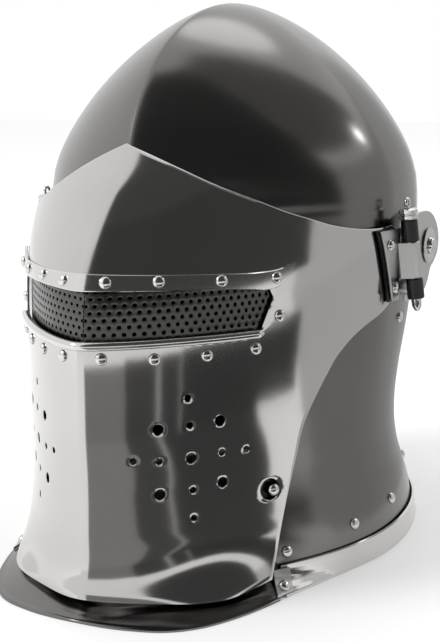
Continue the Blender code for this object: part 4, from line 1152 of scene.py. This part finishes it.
def add_latch():
    seat, out = latch_axis()
    visor = visor_point(math.radians(LATCH_PIN_DEG), LATCH_PIN_Z)
    reach = float(np.dot(visor - seat, out)) + LATCH_PROUD
    inside = -SKULL_WALL - 4 * GAP
    radius = LATCH_PIN_RADIUS
    profile = [
        (inside - 0.0022, 1.4 * radius), (inside - 0.0018, 1.6 * radius), (inside - 0.0007, 1.6 * radius),
        (inside - 0.0006, radius), (reach - 0.0026, radius), (reach - 0.0018, 0.95 * radius),
        (reach - 0.0009, 0.78 * radius), (reach - 0.0003, 0.5 * radius), (reach, 0.15 * radius),
    ]
    pin = made_object("latch_pin_turned", *turned_parts([(profile, seat, out, 40)]), BRIGHT)
    dress(pin, "polished_steel", "latch_pin")


def plain(name, colour, roughness):
    material = bpy.data.materials.new(name)
    material.use_nodes = True
    shader = material.node_tree.nodes["Principled BSDF"]
    shader.inputs["Base Color"].default_value = (*colour, 1.0)
    shader.inputs["Roughness"].default_value = roughness
    return material


def glow(name, level):
    """Light of one level, for the cards that the steel reflects."""
    material = bpy.data.materials.new(name)
    material.use_nodes = True
    nodes = material.node_tree.nodes
    nodes.clear()
    light = nodes.new("ShaderNodeEmission")
    light.inputs["Color"].default_value = (level, level, level, 1.0)
    leave = nodes.new("ShaderNodeOutputMaterial")
    material.node_tree.links.new(light.outputs["Emission"], leave.inputs["Surface"])
    return material


# Columns: name, azimuth from and to in degrees from the face towards the left side,
# distance and height of the lower edge, distance and height of the upper edge, level
CARDS = (
    ("card_near", 1.0, 88.0, 0.60, 0.19, 0.60, 0.90, 0.060),
    ("card_roof", 1.0, 88.0, 0.60, 0.90, 0.15, 1.05, 0.075),
    ("card_back_roof", 88.0, 145.0, 0.60, 0.60, 0.15, 1.05, 0.22),
    ("card_side", 88.0, 182.0, 2.00, 0.0, 2.00, 1.2, 0.62),
    ("floor_side", 88.0, 182.0, 0.20, 0.003, 1.99, 0.003, 0.58),
    ("wall_card_a", 3.0, 29.0, 0.45, 0.003, 0.45, 0.080, 0.24),
    ("wall_card_b", 29.0, 40.5, 0.45, 0.003, 0.45, 0.086, 0.07),
    ("wall_streak_a", 40.5, 42.0, 0.45, 0.003, 0.45, 0.086, 0.45),
    ("wall_card_c", 42.0, 48.0, 0.45, 0.003, 0.45, 0.086, 0.06),
    ("wall_streak_b", 48.0, 49.0, 0.45, 0.003, 0.45, 0.086, 0.30),
    ("wall_card_d", 49.0, 86.0, 0.45, 0.003, 0.45, 0.090, 0.05),
    ("floor_card_a", 3.0, 29.0, 0.20, 0.003, 0.45, 0.003, 0.28),
    ("floor_card_b", 29.0, 40.5, 0.20, 0.003, 0.45, 0.003, 0.08),
    ("floor_streak", 40.5, 42.0, 0.20, 0.003, 0.45, 0.003, 0.45),
    ("floor_card_c", 42.0, 73.0, 0.20, 0.003, 0.45, 0.003, 0.06),
)


def add_card(name, start, end, near, low, far, high, level):
    """Part of the studio that is seen only in reflections."""
    azimuth, share = np.meshgrid(np.radians(np.linspace(start, end, 25)), np.linspace(0, 1, 5))
    distance = near + (far - near) * share
    x = distance * np.sin(azimuth)
    y = -distance * np.cos(azimuth)
    points = np.stack((x, y, low + (high - low) * share), axis=-1)
    grid = np.arange(x.size).reshape(x.shape)
    quads = np.stack((grid[:-1, :-1], grid[1:, :-1], grid[1:, 1:], grid[:-1, 1:]), axis=-1).reshape(-1, 4)
    card = made_object(name, points.reshape(-1, 3), quads, glow(name, level))
    card.visible_camera = False
    card.visible_diffuse = False
    card.visible_shadow = False
    card.visible_transmission = False


def add_studio():
    floor_size = 4.0
    corners = [(-floor_size, -floor_size, 0), (floor_size, -floor_size, 0), (floor_size, floor_size, 0), (-floor_size, floor_size, 0)]
    floor = made_object("floor", corners, [(0, 1, 2, 3)], plain("pale floor", (0.95, 0.95, 0.95), 0.8))
    for row in CARDS:
        add_card(*row)
    world = bpy.data.worlds.new("studio")
    world.use_nodes = True
    world.node_tree.nodes["Background"].inputs["Color"].default_value = (1.0, 1.0, 1.0, 1.0)
    world.node_tree.nodes["Background"].inputs["Strength"].default_value = 1.0
    bpy.context.scene.world = world
    bpy.context.scene.view_settings.view_transform = "Standard"
    for name, place, size, power in LIGHTS:
        light = bpy.data.lights.new(name, "AREA")
        light.shape = "DISK"
        light.size = size
        light.energy = power
        lamp = bpy.data.objects.new(name, light)
        lamp.location = place
        aim = Vector((0.0, 0.0, 0.15)) - Vector(place)
        lamp.rotation_euler = aim.to_track_quat("-Z", "Y").to_euler()
        bpy.context.scene.collection.objects.link(lamp)


# Columns: name, place, diameter, power
LIGHTS = (
    ("key", (-1.6, -1.3, 1.8), 0.9, 24.0),
    ("over", (-0.06, 1.2, 2.0), 0.9, 3.2),
    ("glint", (1.24, 1.36, 1.36), 0.14, 1.2),
)

CAMERA_PLACE = (0.3388, -0.654, 0.2766)
CAMERA_AZIMUTH = 26.8
CAMERA_ELEVATION = 11.7
CAMERA_ROLL = -1.2
IMAGE = (440, 642)
FOCAL_PX = 1300.0
CENTRE_PX = (220.9, 318.9)


def add_camera():
    azimuth, elevation, roll = (math.radians(value) for value in (CAMERA_AZIMUTH, CAMERA_ELEVATION, CAMERA_ROLL))
    back = Vector((math.sin(azimuth) * math.cos(elevation), -math.cos(azimuth) * math.cos(elevation), math.sin(elevation)))
    level = Vector((math.cos(azimuth), math.sin(azimuth), 0))
    upright = back.cross(level)
    right = level * math.cos(roll) + upright * math.sin(roll)
    up = back.cross(right)
    data = bpy.data.cameras.new("camera")
    data.sensor_width = 36
    data.lens = FOCAL_PX / IMAGE[1] * 36
    data.shift_x = (IMAGE[0] / 2 - CENTRE_PX[0]) / IMAGE[1]
    data.shift_y = (CENTRE_PX[1] - IMAGE[1] / 2) / IMAGE[1]
    data.clip_start = 0.05
    camera = bpy.data.objects.new("camera", data)
    bpy.context.scene.collection.objects.link(camera)
    columns = (right, up, back, Vector(CAMERA_PLACE))
    rows = [[column[axis] for column in columns] for axis in range(3)]
    camera.matrix_world = Matrix((*rows, (0, 0, 0, 1)))
    bpy.context.scene.camera = camera


add_skull()
add_visor()
add_band()
add_sight()
add_foot()
add_rivets()
for hand, sign in side_names():
    add_hinge(hand, sign)
add_latch()
add_studio()
add_camera()
